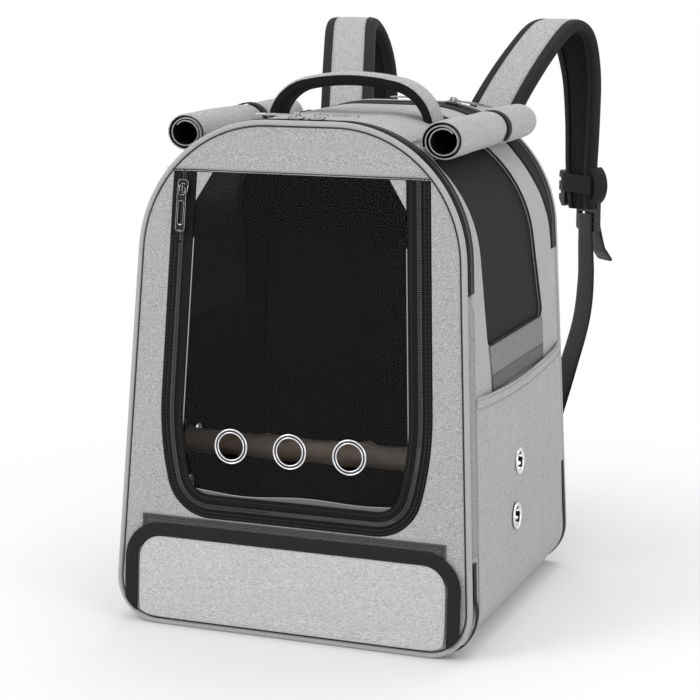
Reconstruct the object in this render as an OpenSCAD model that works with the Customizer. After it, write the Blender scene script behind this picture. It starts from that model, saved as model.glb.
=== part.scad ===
// Bird travel carrier: a soft-sided backpack cabin with an arched front, a clear window door
// on a U-shaped zip, mesh side windows, a perch and a slide-out floor tray.
// Millimetres. X runs across the front, Y towards the wearer's back, Z up.
// The origin is the middle of the underside.

/* [Body] */
// Width of the body at its base, over the piping
body_w = 320; // [300:5:400]
// Depth of the body at its base, over the piping
body_d = 300; // [250:5:370]
// Height of the body, over the piping
body_h = 430; // [400:5:520]
// Radius of the two arch shoulders
shoulder_r = 115; // [95:1:125]
// Flat width of the crown between the shoulder arcs
crown_flat = 60; // [50:2:90]
// Radius of the two lower corners
lower_r = 38; // [32:1:50]
// Backward lean of the front panel, in degrees
front_lean = 4.5; // [2:0.5:7]
// Thickness of a padded fabric wall
wall_t = 3; // [2:0.5:4]
// Thickness of the black lining
lining_t = 1; // [0.6:0.2:1.6]
// Diameter of the corded piping
piping_d = 5; // [4:0.5:7]

/* [Window door] */
// Height of the window door's top seam above the base, along the front
window_top = 387; // [370:1:400]
// Height of the U zip's lower outer edge, along the front
window_bottom = 96; // [92:1:130]
// Half width of the U zip at its top
window_top_half = 112.5; // [90:0.5:116]
// Half width of the U zip where its legs are widest
window_mid_half = 120.5; // [100:0.5:126]
// Radius of the U zip's lower corners
window_corner_r = 44; // [36:1:60]
// Width of the whole U zip tape
zip_tape_w = 20; // [16:1:24]
// Thickness of the clear window sheet
sheet_t = 0.8; // [0.5:0.1:1.2]
// Height of the three window eyelets, along the front
eyelet_row = 159; // [150:1:190]
// Spacing of the window eyelets
eyelet_pitch = 53; // [40:1:60]
// Clear radius of an eyelet
eyelet_r = 11; // [8:0.5:12]
// Outer radius of an eyelet's rim
eyelet_rim_r = 15; // [13:0.5:17]

/* [Tray flap and floor] */
// Half width of the flap that covers the tray, over its binding
flap_half = 150; // [120:1:150]
// Height of the flap's top edge, along the front
flap_top = 88; // [70:1:90]
// Width of the flap's black binding
binding_w = 11.5; // [8:0.5:15]
// Height of the tray's side walls
tray_h = 24; // [15:1:30]

/* [Sides] */
// Height of the mesh window's lower edge
mesh_bottom = 245; // [235:1:260]
// Height of the mesh window's upper edge
mesh_top = 402; // [380:1:410]
// Height of the side pocket's mouth
pocket_top = 210; // [150:1:215]
// Radius of the rolled-up window flap
roll_r = 15.5; // [12:0.5:18]
// Length of the rolled-up window flap
roll_len = 219; // [180:1:225]

/* [Perch] */
// Diameter of the branch perch
perch_d = 22; // [15:1:28]
// Height of the perch's axis
perch_z = 138; // [100:1:200]
// Distance of the perch in front of the cabin's middle
perch_front = 50; // [0:1:70]

/* [Carry handle and straps] */
// Width of the carry handle
handle_w = 30; // [24:1:36]
// Half distance between the handle's feet, to their outer faces
handle_half = 79; // [65:1:84]
// Thickness of the handle
handle_t = 8; // [6:0.5:10]
// Height of the handle's top above the body
handle_rise = 33; // [28:1:45]
// Width of a padded shoulder strap
strap_w = 50; // [40:1:65]
// Thickness of a padded shoulder strap
strap_t = 10; // [6:1:14]
// Width of the webbing
webbing_w = 25; // [20:1:30]

/* [Hidden] */
$fn = 72;
grey = [0.70, 0.70, 0.70];
black = [0.09, 0.09, 0.10];
net_black = [0.13, 0.13, 0.14];
steel = [0.78, 0.79, 0.80];
clear = [0.75, 0.80, 0.82, 0.35];
bark = [0.20, 0.17, 0.15];
tray_white = [0.86, 0.86, 0.84];

gap = 0.2;                                  // sewn pieces of one body lie this far apart
play = 0.3;                                 // clearance between bodies that move
far = 900;                                  // longer than anything that is cut

back_y = body_d / 2;
front_y = -body_d / 2;
crown_half = crown_flat / 2;
shoulder_z = body_h - shoulder_r;
lower_x = body_w / 2 - lower_r;
skin_in = 2;                                // the gusset's outer face lies inside the piping
mesh_in = skin_in + wall_t + gap;
mesh_t = 0.6;
lining_in = mesh_in + mesh_t + gap;
panel_in = piping_d + gap;                  // the front and back panels lie inside the piping
panel_d = 1;                                // depth of the front panel's face behind the piping
seam_x = shoulder_r * 0.51 + crown_half;    // seam between the top and side panels
zip_raise = 0.8;                            // depth of the body zip's tape below the piping
tape_t = 1;
zip_front = piping_d + 0.6;                 // the front body zip runs from here
zip_rear = zip_front + 17;                  // to here, behind the front plane
zip_end_z = 295;
teeth_w = 4.4;

// ---- outlines ----

// Direction of the normal of the line that touches two circles [x, y, r], going anticlockwise
function touch_dir(a, b) =
    atan2(b.y - a.y, b.x - a.x) - acos((a.z - b.z) / norm([b.x - a.x, b.y - a.y]));
function touch_pair(a, b) =
    let (t = touch_dir(a, b), u = [cos(t), sin(t)])
    [[a.x, a.y] + a.z * u, [b.x, b.y] + b.z * u];

// Convex outline stretched round circles that are listed anticlockwise
module belt(circles) {
    n = len(circles);
    polygon([for (i = [0:n - 1]) each touch_pair(circles[i], circles[(i + 1) % n])]);
    for (c = circles) translate([c.x, c.y]) circle(c.z, $fn = c.z > 50 ? 180 : 48);
}

// Four circles of the arched body outline of a given height, drawn in by an inset
function arch_circles(inset, top = body_h) = [
    [-lower_x, lower_r, lower_r - inset],
    [lower_x, lower_r, lower_r - inset],
    [crown_half, top - shoulder_r, shoulder_r - inset],
    [-crown_half, top - shoulder_r, shoulder_r - inset]];
module arch(inset) belt(arch_circles(inset));
// The same outline in the leaning front plane, a little taller
front_h = body_h / cos(front_lean);
module front_arch(inset) belt(arch_circles(inset, front_h));
module arch_band(inset, thick) {
    difference() {
        arch(inset);
        arch(inset + thick);
    }
}
// Half width of the arch at a height
function arch_half(z, inset) =
    z > shoulder_z
    ? crown_half + sqrt(pow(shoulder_r - inset, 2) - pow(z - shoulder_z, 2))
    : let (p = touch_pair(arch_circles(inset)[1], arch_circles(inset)[2]))
      p[0].x + (p[1].x - p[0].x) * (z - p[0].y) / (p[1].y - p[0].y);

function arc_points(c, r, from, to, steps) =
    [for (i = [0:steps]) let (a = from + (to - from) * i / steps) c + r * [cos(a), sin(a)]];

// ---- placing ----

// Drawing in XZ, carried along Y
module along_y(from, to) {
    translate([0, to, 0]) rotate([90, 0, 0]) linear_extrude(to - from) children();
}
// Drawing in YZ, carried along X
module along_x(from, to) {
    translate([from, 0, 0]) rotate([90, 0, 90]) linear_extrude(to - from) children();
}
// Front panel's own frame: X across, Y up the panel, Z outwards from the piping's front
module on_front() {
    translate([0, front_y, 0]) rotate([90 - front_lean, 0, 0]) children();
}
// Everything from one depth to another behind the front plane
module front_slab(from, to) {
    on_front() translate([-far / 2, -far / 2, -to]) cube([far, far * 1.5, to - from]);
}
// Front drawing, given a depth range behind the front plane
module front_piece(from, to) {
    on_front() translate([0, 0, -to]) linear_extrude(to - from) children();
}
module mirrored() {
    children();
    mirror([1, 0, 0]) children();
}
// A band of the gusset from the front plane's depth back to a Y
module gusset(inset, thick, from, to_y) {
    intersection() {
        along_y(front_y - 1, to_y) arch_band(inset, thick);
        front_slab(from, far);
    }
}

// ---- shell panels ----

module front_panel() {
    color(grey) difference() {
        front_piece(panel_d, panel_d + wall_t) front_arch(panel_in);
        front_piece(-1, panel_d + wall_t + 1) {
            u_shape(-gap);
            tray_mouth();
        }
    }
}

tray_half = lower_x + 3;
tray_floor_z = lining_in + lining_t + gap;
mouth_top = tray_floor_z + tray_h + 6;
module tray_mouth() {
    translate([-tray_half - 2, tray_floor_z - gap]) square([2 * tray_half + 4, mouth_top - tray_floor_z]);
}

module top_panel() {
    color(grey) intersection() {
        gusset(skin_in, wall_t, panel_in, back_y - panel_in);
        translate([-seam_x, -far / 2, shoulder_z]) cube([2 * seam_x, far, body_h]);
    }
}

// Right-hand part of the gusset, from the base up to the top seam
module side_region() {
    polygon([
        [lower_x + gap, -1], [body_w, -1], [body_w, body_h + 1], [seam_x + gap, body_h + 1],
        [seam_x + gap, shoulder_z], [lower_x + gap, lower_r + wall_t + 10]]);
}
// Mesh window's outline seen from the side, grown by a margin
module mesh_outline(grow) {
    r = 6;
    belt([
        [-70 + r, mesh_bottom + r, r + grow],
        [96 - r, mesh_bottom + r, r + grow],
        [49 - r, mesh_top - r, r + grow],
        [-92 + r, mesh_top - r, r + grow]]);
}
// The mesh is sewn behind the panel, 8 mm beyond the opening
module mesh_margin() {
    polygon([[-79, mesh_bottom - 8], [106, mesh_bottom - 8], [56, mesh_top + 8], [-101, mesh_top + 8]]);
}
side_eyelets_at = [[-4, 134], [-18, 89]];
module side_eyelet_holes(grow) {
    for (p = side_eyelets_at) translate(p) circle(side_eyelet_r + 1 + grow);
}
side_eyelet_r = 8;
side_eyelet_rim_r = 11.5;

module side_panel() {
    color(grey) difference() {
        intersection() {
            gusset(skin_in, wall_t, panel_in, back_y - panel_in);
            along_y(-far / 2, far / 2) side_region();
        }
        along_x(0, body_w) {
            mesh_outline(0);
            side_eyelet_holes(2 * gap);
        }
    }
}
module side_panel_right() side_panel();
module side_panel_left() mirror([1, 0, 0]) side_panel();

module base_panel() {
    color(black) difference() {
        intersection() {
            translate([-lower_x, front_y, 0]) cube([2 * lower_x, body_d - panel_in, wall_t]);
            front_slab(panel_in, far);
        }
    }
}

module base_board() {
    color(black) intersection() {
        translate([-lower_x, front_y, wall_t + gap / 2])
            cube([2 * lower_x, body_d - panel_in - wall_t, lining_in - wall_t - gap]);
        front_slab(panel_in, far);
    }
}

module back_panel() {
    color(black) along_y(back_y - panel_d - wall_t, back_y - panel_d) arch(panel_in);
}

module lining() {
    color(black) difference() {
        gusset(lining_in, lining_t, panel_d + wall_t + gap, back_y - panel_d - wall_t - gap);
        along_x(-body_w, body_w) mesh_margin();
        along_x(-body_w, body_w) side_eyelet_holes(3 * gap);
    }
}

// ---- piping: a round cord bent along the arch ----

module cord_span(a, b) {
    d = b - a;
    translate([a.x, a.y, 0]) rotate([0, 90, atan2(d.y, d.x)])
        translate([0, 0, 0.02]) cylinder(h = norm(d) - 0.04, d = piping_d);
}
module cord_ring(top) {
    c = arch_circles(piping_d / 2, top);
    for (i = [0:3]) {
        pair = touch_pair(c[i], c[(i + 1) % 4]);
        cord_span(pair[0], pair[1]);
        from = touch_dir(c[(i + 3) % 4], c[i]);
        to = touch_dir(c[i], c[(i + 1) % 4]);
        sweep = to - from - 360 * floor((to - from) / 360);
        translate([c[i].x, c[i].y, 0]) rotate([0, 0, from])
            rotate_extrude(angle = sweep) translate([c[i].z, 0]) circle(d = piping_d);
    }
}
module front_piping() {
    color(grey) on_front() translate([0, 0, -piping_d / 2]) cord_ring(front_h);
}
module back_piping() {
    color(grey) translate([0, back_y - piping_d / 2, 0]) rotate([90, 0, 0]) cord_ring(body_h);
}

// ---- body zips ----

module front_zip_tape() {
    color(black) intersection() {
        along_y(front_y - 1, 0) arch_band(zip_raise, tape_t);
        front_slab(zip_front, zip_rear);
        translate([-far / 2, -far / 2, zip_end_z]) cube(far);
    }
}
module front_zip_teeth() {
    mid = (zip_front + zip_rear) / 2;
    color(black) intersection() {
        along_y(front_y - 1, 0) arch_band(0, zip_raise - 0.05);
        front_slab(mid - teeth_w / 2, mid + teeth_w / 2);
        translate([-far / 2, -far / 2, zip_end_z]) cube(far);
    }
}
back_zip_y = back_y - piping_d - 11;
module back_zip_band() {
    rear = back_y - piping_d - gap;
    polygon([
        [back_zip_y - 15, zip_end_z + 5], [rear, zip_end_z + 5], [rear, body_h + 1],
        [back_zip_y - 32, body_h + 1], [back_zip_y - 32, shoulder_z + 80]]);
}
module back_zip_tape() {
    color(black) intersection() {
        along_y(0, back_y) arch_band(zip_raise, tape_t);
        along_x(-body_w, body_w) back_zip_band();
    }
}
module back_zip_teeth() {
    color(black) intersection() {
        along_y(back_zip_y - teeth_w / 2, back_zip_y + teeth_w / 2) arch_band(0, zip_raise - 0.05);
        translate([-far / 2, -far / 2, zip_end_z + 5]) cube(far);
    }
}

// ---- window door and its U zip ----

window_leg_v = 200;                          // the legs run straight above this height
window_bend_r = 260;                         // they bend in on this radius below it
leg_tilt = atan2(window_mid_half - window_top_half, window_top - window_leg_v);
bend_end = -13.9;
// The right half of the U, from its top down to its middle, drawn in by an inset
function u_half(inset) =
    let (
        bend_c = [window_mid_half, window_leg_v] - window_bend_r * [cos(leg_tilt), sin(leg_tilt)],
        join = bend_c + window_bend_r * [cos(bend_end), sin(bend_end)],
        low_r = (join.y - window_bottom) / (1 + sin(bend_end)),
        corner_c = join - low_r * [cos(bend_end), sin(bend_end)])
    concat(
        [[window_top_half - inset * cos(leg_tilt), window_top]],
        arc_points(bend_c, window_bend_r - inset, leg_tilt, bend_end, 4),
        arc_points(corner_c, low_r - inset, bend_end, -90, 8));
function mirror_back(points) = [for (i = [len(points) - 1:-1:0]) [-points[i].x, points[i].y]];
module u_shape(inset) {
    half = u_half(inset);
    polygon(concat(half, mirror_back(half)));
}
// Cuts the top of the U and of the sheet along one line
module above_window() {
    translate([-far / 2, window_top - 0.005]) square(far);
}
module u_band(from, to) {
    difference() {
        u_shape(from);
        translate([0, 0.01]) u_shape(to);
        above_window();
    }
}

zip_mid = zip_tape_w / 2;
coil_w = 2;                                  // width of one half of the coil
split = 0.15;                                // the two halves lie this far from the middle
notch_v = 328;                               // the slider's parking place reaches down to here
tape_d = panel_d + 0.2;
hinge_v = window_top + play;

// The top of the left leg, where the slider parks, stays on the front panel
module parking(grow) {
    translate([-far / 2, notch_v - grow]) square([far / 2 - window_top_half / 2, far]);
}

module window_frame_tape() {
    color(black) front_piece(tape_d, tape_d + tape_t) {
        u_band(0, zip_mid - coil_w);
        intersection() {
            u_band(zip_mid + coil_w, zip_tape_w);
            parking(0);
        }
    }
}
module window_frame_teeth() {
    color(black) front_piece(tape_d - 0.8, tape_d + tape_t) {
        u_band(zip_mid - coil_w + 0.05, zip_mid - split);
        intersection() {
            u_band(zip_mid + split, zip_mid + coil_w - 0.05);
            parking(0);
        }
    }
}
module window_door_tape() {
    color(black) front_piece(tape_d, tape_d + tape_t) difference() {
        u_band(zip_mid + coil_w, zip_tape_w);
        parking(play);
    }
}
module window_door_teeth() {
    color(black) front_piece(tape_d - 0.8, tape_d + tape_t) difference() {
        u_band(zip_mid + split, zip_mid + coil_w - 0.05);
        parking(play);
    }
}
sheet_d = tape_d + tape_t + 0.05;
module window_sheet() {
    color(clear) front_piece(sheet_d, sheet_d + sheet_t) difference() {
        u_shape(zip_mid + coil_w + 2);
        above_window();
        intersection() {
            parking(play);
            u_band(0, zip_tape_w + play);
        }
        for (i = [-1:1]) translate([i * eyelet_pitch - 3, eyelet_row]) circle(eyelet_r + 1 + 0.05);
    }
}
// Triangular fabric corners sewn over the window's upper corners
module window_corner_patches() {
    top_in = window_top_half - zip_tape_w - 0.8;
    color(grey) front_piece(tape_d, tape_d + tape_t)
        mirrored() polygon([[top_in, window_top], [top_in + 0.9, window_top - 24], [top_in - 14, window_top]]);
}

// A two-part eyelet: rolled rim outside, washer inside, one barrel through the cloth
module eyelet(clear_r, rim_r, grip) {
    rotate_extrude() difference() {
        union() {
            translate([clear_r, -grip - 1]) square([1, grip + 1]);
            translate([clear_r, 0]) square([rim_r - clear_r - 1, 1.2]);
            translate([rim_r - 1.2, 0]) intersection() {
                circle(1.2, $fn = 32);
                translate([-0.4, 0]) square(2);
            }
            translate([clear_r, -grip - 1]) square([rim_r - clear_r - 0.8, 0.9]);
        }
        translate([clear_r - 0.4, 1.2]) rotate(45) square(0.9, center = true);
    }
}
module window_eyelets() {
    color(steel) on_front()
        for (i = [-1:1]) translate([i * eyelet_pitch - 3, eyelet_row, -sheet_d + 0.05])
            eyelet(eyelet_r, eyelet_rim_r, sheet_t + 0.1);
}

// ---- window zip slider and its pull ----

slider_v = 373;
// Centre line of the left leg at a height
function leg_x(v) = -(window_mid_half - (v - window_leg_v) * tan(leg_tilt)) + zip_mid / cos(leg_tilt);
slider_travel = slider_v - window_leg_v;
module at_window_slider() {
    on_front() translate([leg_x(slider_v), slider_v, -tape_d + 0.8 + play])
        rotate([0, 0, -leg_tilt]) children();
}
slider_w = 10;
slider_l = 14;
slider_t = 1.6;
pin_z = slider_t + 1.45;
// A zip slider seen from above, wide shoulders at its front end, with a bridge for the pull
module slider_body() {
    difference() {
        union() {
            linear_extrude(slider_t) belt([
                [-1.8, -slider_l / 2 + 2, 2], [1.8, -slider_l / 2 + 2, 2],
                [slider_w / 2 - 3, slider_l / 2 - 3, 3], [3 - slider_w / 2, slider_l / 2 - 3, 3]]);
            translate([-1.4, 0, 0]) rotate([90, 0, 90]) linear_extrude(2.8)
                belt([[-2.6, 1, 1], [2.6, 1, 1], [1.7, pin_z + 1.3, 1], [-1.7, pin_z + 1.3, 1]]);
        }
        translate([-3, -1.4, pin_z - 1.4]) cube([6, 2.8, 2.8]);
    }
}
// The pull is a flat bar with a ring at its top, and a second hole low down
pull_l = 36;
pull_w = 8.5;
module pull_bar() {
    translate([0, 0, -0.6]) linear_extrude(1.2) difference() {
        belt([[-pull_w / 2 + 2.5, -pull_l + 2.5, 2.5], [pull_w / 2 - 2.5, -pull_l + 2.5, 2.5],
              [1.5, -1.8, 2.6], [-1.5, -1.8, 2.6]]);
        belt([[-1, -3.9, 1.6], [1, -3.9, 1.6], [1, -2.4, 1.6], [-1, -2.4, 1.6]]);
        belt([[-1.2, -pull_l + 7, 1.2], [1.2, -pull_l + 7, 1.2], [1.2, -12, 1.2], [-1.2, -12, 1.2]]);
    }
}
module window_slider() color(steel) at_window_slider() slider_body();
module at_pull() translate([0, 0, pin_z]) children();
module window_pull() color(steel) at_window_slider() at_pull() pull_bar();

// ---- sliders of the body zips ----

front_slider_x = 9;
front_slider_d = (zip_front + zip_rear) / 2;
front_slider_y = front_y + body_h * tan(front_lean) + front_slider_d / cos(front_lean);
// At the crown, on the front body zip, the slider's nose towards +X and the pull towards -X
module at_front_slider() {
    translate([-front_slider_x, front_slider_y, body_h + play]) rotate([0, 0, -90]) children();
}
module front_slider_left() color(steel) at_front_slider() slider_body();
module front_pull_left() color(steel) at_front_slider() at_pull() pull_bar();
module front_slider_right() mirror([1, 0, 0]) front_slider_left();
module front_pull_right() mirror([1, 0, 0]) front_pull_left();

back_slider_angle = 9;                       // past the start of the right shoulder arc
module at_back_slider_right() {
    translate([crown_half, back_zip_y, shoulder_z]) rotate([0, back_slider_angle, 0])
        translate([0, 0, shoulder_r + play]) rotate([0, 0, -90]) children();
}
module back_slider_right() color(steel) at_back_slider_right() mirror([0, 1, 0]) slider_body();
module back_pull_right() color(steel) at_back_slider_right() mirror([0, 1, 0]) at_pull() pull_bar();
back_slider_x = 24;
module at_back_slider_left() {
    translate([back_slider_x, back_zip_y, body_h + play]) rotate([0, 0, -90]) children();
}
module back_slider_left() color(steel) at_back_slider_left() slider_body();
module back_pull_left() color(steel) at_back_slider_left() at_pull() pull_bar();

// ---- tray flap ----

flap_face = -0.3;                            // depth of the flap's inner face
flap_t = 3;
flap_foot = 7.5;                             // height of the hinge line
module flap_rect(half, top, r) {
    belt([[-half + r, -20, r], [half - r, -20, r], [half - r, top - r, r], [-half + r, top - r, r]]);
}
module flap_outline(half, top, r) {
    intersection() {
        arch(panel_in + 2.5);
        flap_rect(half, top, r);
        translate([-far / 2, flap_foot + gap]) square([far, far]);
    }
}
module tray_flap_panel() {
    color(grey) difference() {
        front_piece(flap_face - flap_t, flap_face) flap_outline(flap_half - binding_w, flap_top - binding_w, 12);
        front_piece(flap_face - 1, flap_face + 1) loop_strip_outline(0.1);
    }
}
module tray_flap_binding() {
    color(black) front_piece(flap_face - flap_t, flap_face) difference() {
        flap_outline(flap_half, flap_top, 22);
        flap_rect(flap_half - binding_w + 0.05, flap_top - binding_w + 0.05, 12);
    }
}
module loop_strip_outline(grow) {
    translate([-120 - grow, flap_top - binding_w - 14 - grow]) square([240 + 2 * grow, 12 + 2 * grow]);
}
module tray_flap_loop_strip() {
    color(black) front_piece(flap_face - 1, flap_face) loop_strip_outline(0);
}
// Hook tape on the front panel; it reaches above the closed flap
module flap_hook_strip() {
    color(black) front_piece(flap_face + 0.1, panel_d) difference() {
        translate([-136, mouth_top + 20]) square([272, window_bottom - mouth_top - 21]);
        u_shape(-0.5);
    }
}

// ---- cabin floor, perch ----

module floor_tray() {
    depth = body_d - 40;
    front = front_y + panel_d + wall_t + 6;
    color(tray_white) translate([-tray_half, front, tray_floor_z]) difference() {
        cube([2 * tray_half, depth, tray_h]);
        translate([2, 2, 2]) cube([2 * tray_half - 4, depth - 4, tray_h]);
        // finger dip in the front wall
        translate([tray_half, -1, tray_h + 6]) rotate([-90, 0, 0]) cylinder(h = 4, r = 18);
    }
}

cup_t = 2.5;
perch_half = arch_half(perch_z, lining_in + lining_t) - play - cup_t;
// A natural branch: a straight core with gentle swellings and the stubs of three twigs
module perch() {
    color(bark) translate([0, -perch_front, perch_z]) rotate([0, 90, 0]) {
        rotate_extrude() polygon(concat(
            [[0, -perch_half]],
            [for (i = [0:20]) let (t = i / 20)
                [perch_d / 2 + 0.7 * sin(t * 900) + 0.4 * sin(t * 2220) - 0.5, perch_half * (2 * t - 1)]],
            [[0, perch_half]]));
        for (s = [[-62, 40], [14, 200], [70, 310]])
            translate([0, 0, s[0]]) rotate([0, 0, s[1]]) rotate([0, 62, 0])
                cylinder(h = perch_d / 2 + 3.5, r1 = 4.5, r2 = 3.2, $fn = 24);
    }
}
module perch_cups() {
    x = perch_half - 9;
    color(black) mirrored() intersection() {
        translate([x, -perch_front, perch_z]) rotate([0, 90, 0]) difference() {
            union() {
                cylinder(h = 9 + cup_t, r = perch_d / 2 + 3);
                translate([0, 0, 9]) cylinder(h = cup_t + 3, r = perch_d / 2 + 9);
            }
            translate([0, 0, -1]) cylinder(h = 10.1, r = perch_d / 2 + 0.9);
        }
        along_y(-far / 2, far / 2) arch(lining_in + lining_t + 0.05);
    }
}

// ---- sides: mesh, pockets, eyelets, corner strips, rolled flaps ----

module mesh_window() {
    color(net_black) intersection() {
        gusset(mesh_in, mesh_t, panel_in, back_y - panel_in);
        along_y(-far / 2, far / 2) side_region();
        along_x(0, body_w) mesh_margin();
    }
}
module mesh_window_right() mesh_window();
module mesh_window_left() mirror([1, 0, 0]) mesh_window();

pocket_rear = back_y - piping_d - 2;
// The pocket's cloth; its mouth sags a little between its sewn sides
module pocket_outline() {
    polygon(concat(
        [[front_y, lower_r * 0.35], [pocket_rear, lower_r * 0.35], [pocket_rear, pocket_top + 3]],
        [for (i = [0:8]) let (t = i / 8)
            [pocket_rear - 26 - (pocket_rear - 26 - front_y) * t, pocket_top - 5 * sin(180 * t)]]));
}
module side_pocket() {
    color(grey) difference() {
        intersection() {
            gusset(0.95, 0.9, zip_rear + 0.5, back_y - piping_d);
            along_y(-far / 2, far / 2) side_region();
            along_x(0, body_w) pocket_outline();
        }
        along_x(0, body_w) side_eyelet_holes(gap);
    }
}
module side_pocket_right() side_pocket();
module side_pocket_left() mirror([1, 0, 0]) side_pocket();

module side_eyelets() {
    color(steel) mirrored() for (p = side_eyelets_at) {
        tilt = atan2(arch_half(p.y - 10, 0) - arch_half(p.y + 10, 0), 20);
        translate([arch_half(p.y, 0) - 0.1, p.x, p.y]) rotate([0, 90 - tilt, 0])
            eyelet(side_eyelet_r, side_eyelet_rim_r, lining_in + lining_t);
    }
}

// Black strips that guard the four upright corners near the ground
module corner_guards() {
    color(black) mirrored() {
        intersection() {
            along_y(front_y - 1, 0) arch_band(zip_raise, tape_t);
            front_slab(zip_front, zip_front + 8);
            along_y(-far / 2, far / 2) side_region();
            translate([0, -far / 2, 3]) cube([far, far, 77]);
        }
        intersection() {
            along_y(back_y - piping_d - 9, back_y - piping_d - gap) arch_band(0.05, 0.8);
            along_y(-far / 2, far / 2) side_region();
            translate([0, -far / 2, 3]) cube([far, far, 97]);
        }
    }
}

roll_angle = 50;
roll_front = -94;
roll_seat = shoulder_r - skin_in + play + 0.1;
cloth_t = 1.7;
roll_pitch = 2.7;
roll_turns = 2.4;
module at_roll() {
    r = roll_seat + roll_r;
    translate([crown_half + r * cos(roll_angle), roll_front, shoulder_z + r * sin(roll_angle)]) children();
}
// A cloth flap wound into a hollow roll: a spiral band, drawn out along its length
module rolled_flap() {
    steps = 20;
    outer = [for (i = [0:steps * roll_turns]) let (a = 360 * i / steps)
        (roll_r - roll_pitch * a / 360) * [cos(200 - a), sin(200 - a)]];
    inner = [for (i = [steps * roll_turns:-1:0]) let (a = 360 * i / steps)
        (roll_r - cloth_t - roll_pitch * a / 360) * [cos(200 - a), sin(200 - a)]];
    color(grey) at_roll() rotate([-90, 0, 0]) linear_extrude(roll_len)
        mirror([0, 1]) polygon(concat(outer, inner));
}
module rolled_flap_right() rolled_flap();
module rolled_flap_left() mirror([1, 0, 0]) rolled_flap();
module flap_ties() {
    color(black) mirrored() difference() {
        at_roll() translate([0, 128, 0]) rotate([-90, 0, 0]) difference() {
            cylinder(h = 9, r = roll_r + 1.1);
            translate([0, 0, -1]) cylinder(h = 11, r = roll_r + 0.1);
        }
        along_y(-far / 2, far / 2) arch(skin_in - 0.1);
    }
}

// ---- carry handle ----

handle_y = 8;
handle_toe = 1.6;                            // the inner edge runs in this far as the handle leans
// The feet just clear the patches
handle_pivot_z = shoulder_z + handle_w / 2 + 2 * play
    + sqrt(pow(shoulder_r - 0.4, 2) - pow(handle_half - handle_t - handle_toe - crown_half, 2));
handle_end_r = 46;
handle_crown_r = 200;
// The handle's outer line, from foot to foot, drawn in by an inset
function handle_line(inset) =
    let (
        side = handle_half - handle_end_r,
        lean = asin(side / (handle_crown_r - handle_end_r)),
        crown_z = body_h + handle_rise - handle_crown_r,
        end_z = crown_z + (handle_crown_r - handle_end_r) * cos(lean),
        foot = asin((handle_pivot_z - handle_w / 2 - end_z) / handle_end_r))
    concat(
        arc_points([side, end_z], handle_end_r - inset, foot, 90 - lean, 8),
        arc_points([0, crown_z], handle_crown_r - inset, 90 - lean, 90 + lean, 6),
        arc_points([-side, end_z], handle_end_r - inset, 90 + lean, 180 - foot, 8));
module handle_band(from, to) {
    inner = handle_line(to);
    along_y(handle_y - handle_w / 2, handle_y + handle_w / 2)
        polygon(concat(handle_line(from), [for (i = [len(inner) - 1:-1:0]) inner[i]]));
}
// Feet are rounded about the hinge line
module handle_side_shape() {
    along_x(-far / 2, far / 2) {
        translate([handle_y, handle_pivot_z]) circle(handle_w / 2);
        translate([handle_y - handle_w / 2, handle_pivot_z]) square([handle_w, far / 4]);
    }
}
cover_t = 2;
module handle_cover() {
    color(grey) intersection() {
        handle_band(0, cover_t);
        handle_side_shape();
    }
}
module handle_core() {
    color(black) intersection() {
        handle_band(cover_t + 0.02, handle_t);
        handle_side_shape();
    }
}
// Sewn patches on which the handle's feet rock
module handle_patches() {
    color(grey) mirrored() intersection() {
        along_y(handle_y - 20, handle_y + 20) arch_band(0.4, 1.5);
        translate([handle_half - handle_t - 8, -far / 2, shoulder_z]) cube([handle_t + 16, far, far]);
    }
}

// ---- back: pads, yoke, shoulder straps, webbing ----

module pad(x, z, w, h) {
    thick = 12;
    crown = 420;
    r = 18;
    color(black) intersection() {
        along_y(back_y - panel_d + gap, back_y + thick) translate([x, z]) belt([
            [-w / 2 + r, -h / 2 + r, r], [w / 2 - r, -h / 2 + r, r],
            [w / 2 - r, h / 2 - r, r], [-w / 2 + r, h / 2 - r, r]]);
        translate([x, back_y + thick - crown, z - h]) cylinder(h = 2 * h, r = crown, $fn = 180);
        translate([x - w, back_y + thick - 2 * crown, z]) rotate([0, 90, 0])
            cylinder(h = 2 * w, r = 2 * crown, $fn = 180);
    }
}
module back_pads() {
    mirrored() pad(-58, 268, 100, 150);
    pad(0, 118, 216, 116);
}
module strap_yoke() {
    color(black) translate([0, back_y + 0.2 - panel_d, 0]) along_y(0, 3)
        belt([[-92, 362, 8], [92, 362, 8], [84, 384, 8], [-84, 384, 8]]);
}

function lerp(a, b, t) = a + (b - a) * t;
// Catmull-Rom point between p[1] and p[2]
function spline(p, t) = 0.5 * (2 * p[1] + (p[2] - p[0]) * t
    + (2 * p[0] - 5 * p[1] + 4 * p[2] - p[3]) * t * t
    + (3 * p[1] - p[0] - 3 * p[2] + p[3]) * t * t * t);
function clamp_at(list, i) = list[min(max(i, 0), len(list) - 1)];
function smooth_path(list, steps) = [
    for (i = [0:len(list) - 2]) for (s = [0:steps - 1])
        spline([clamp_at(list, i - 1), list[i], list[i + 1], clamp_at(list, i + 2)], s / steps),
    list[len(list) - 1]];
function unit(v) = v / norm(v);

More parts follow.
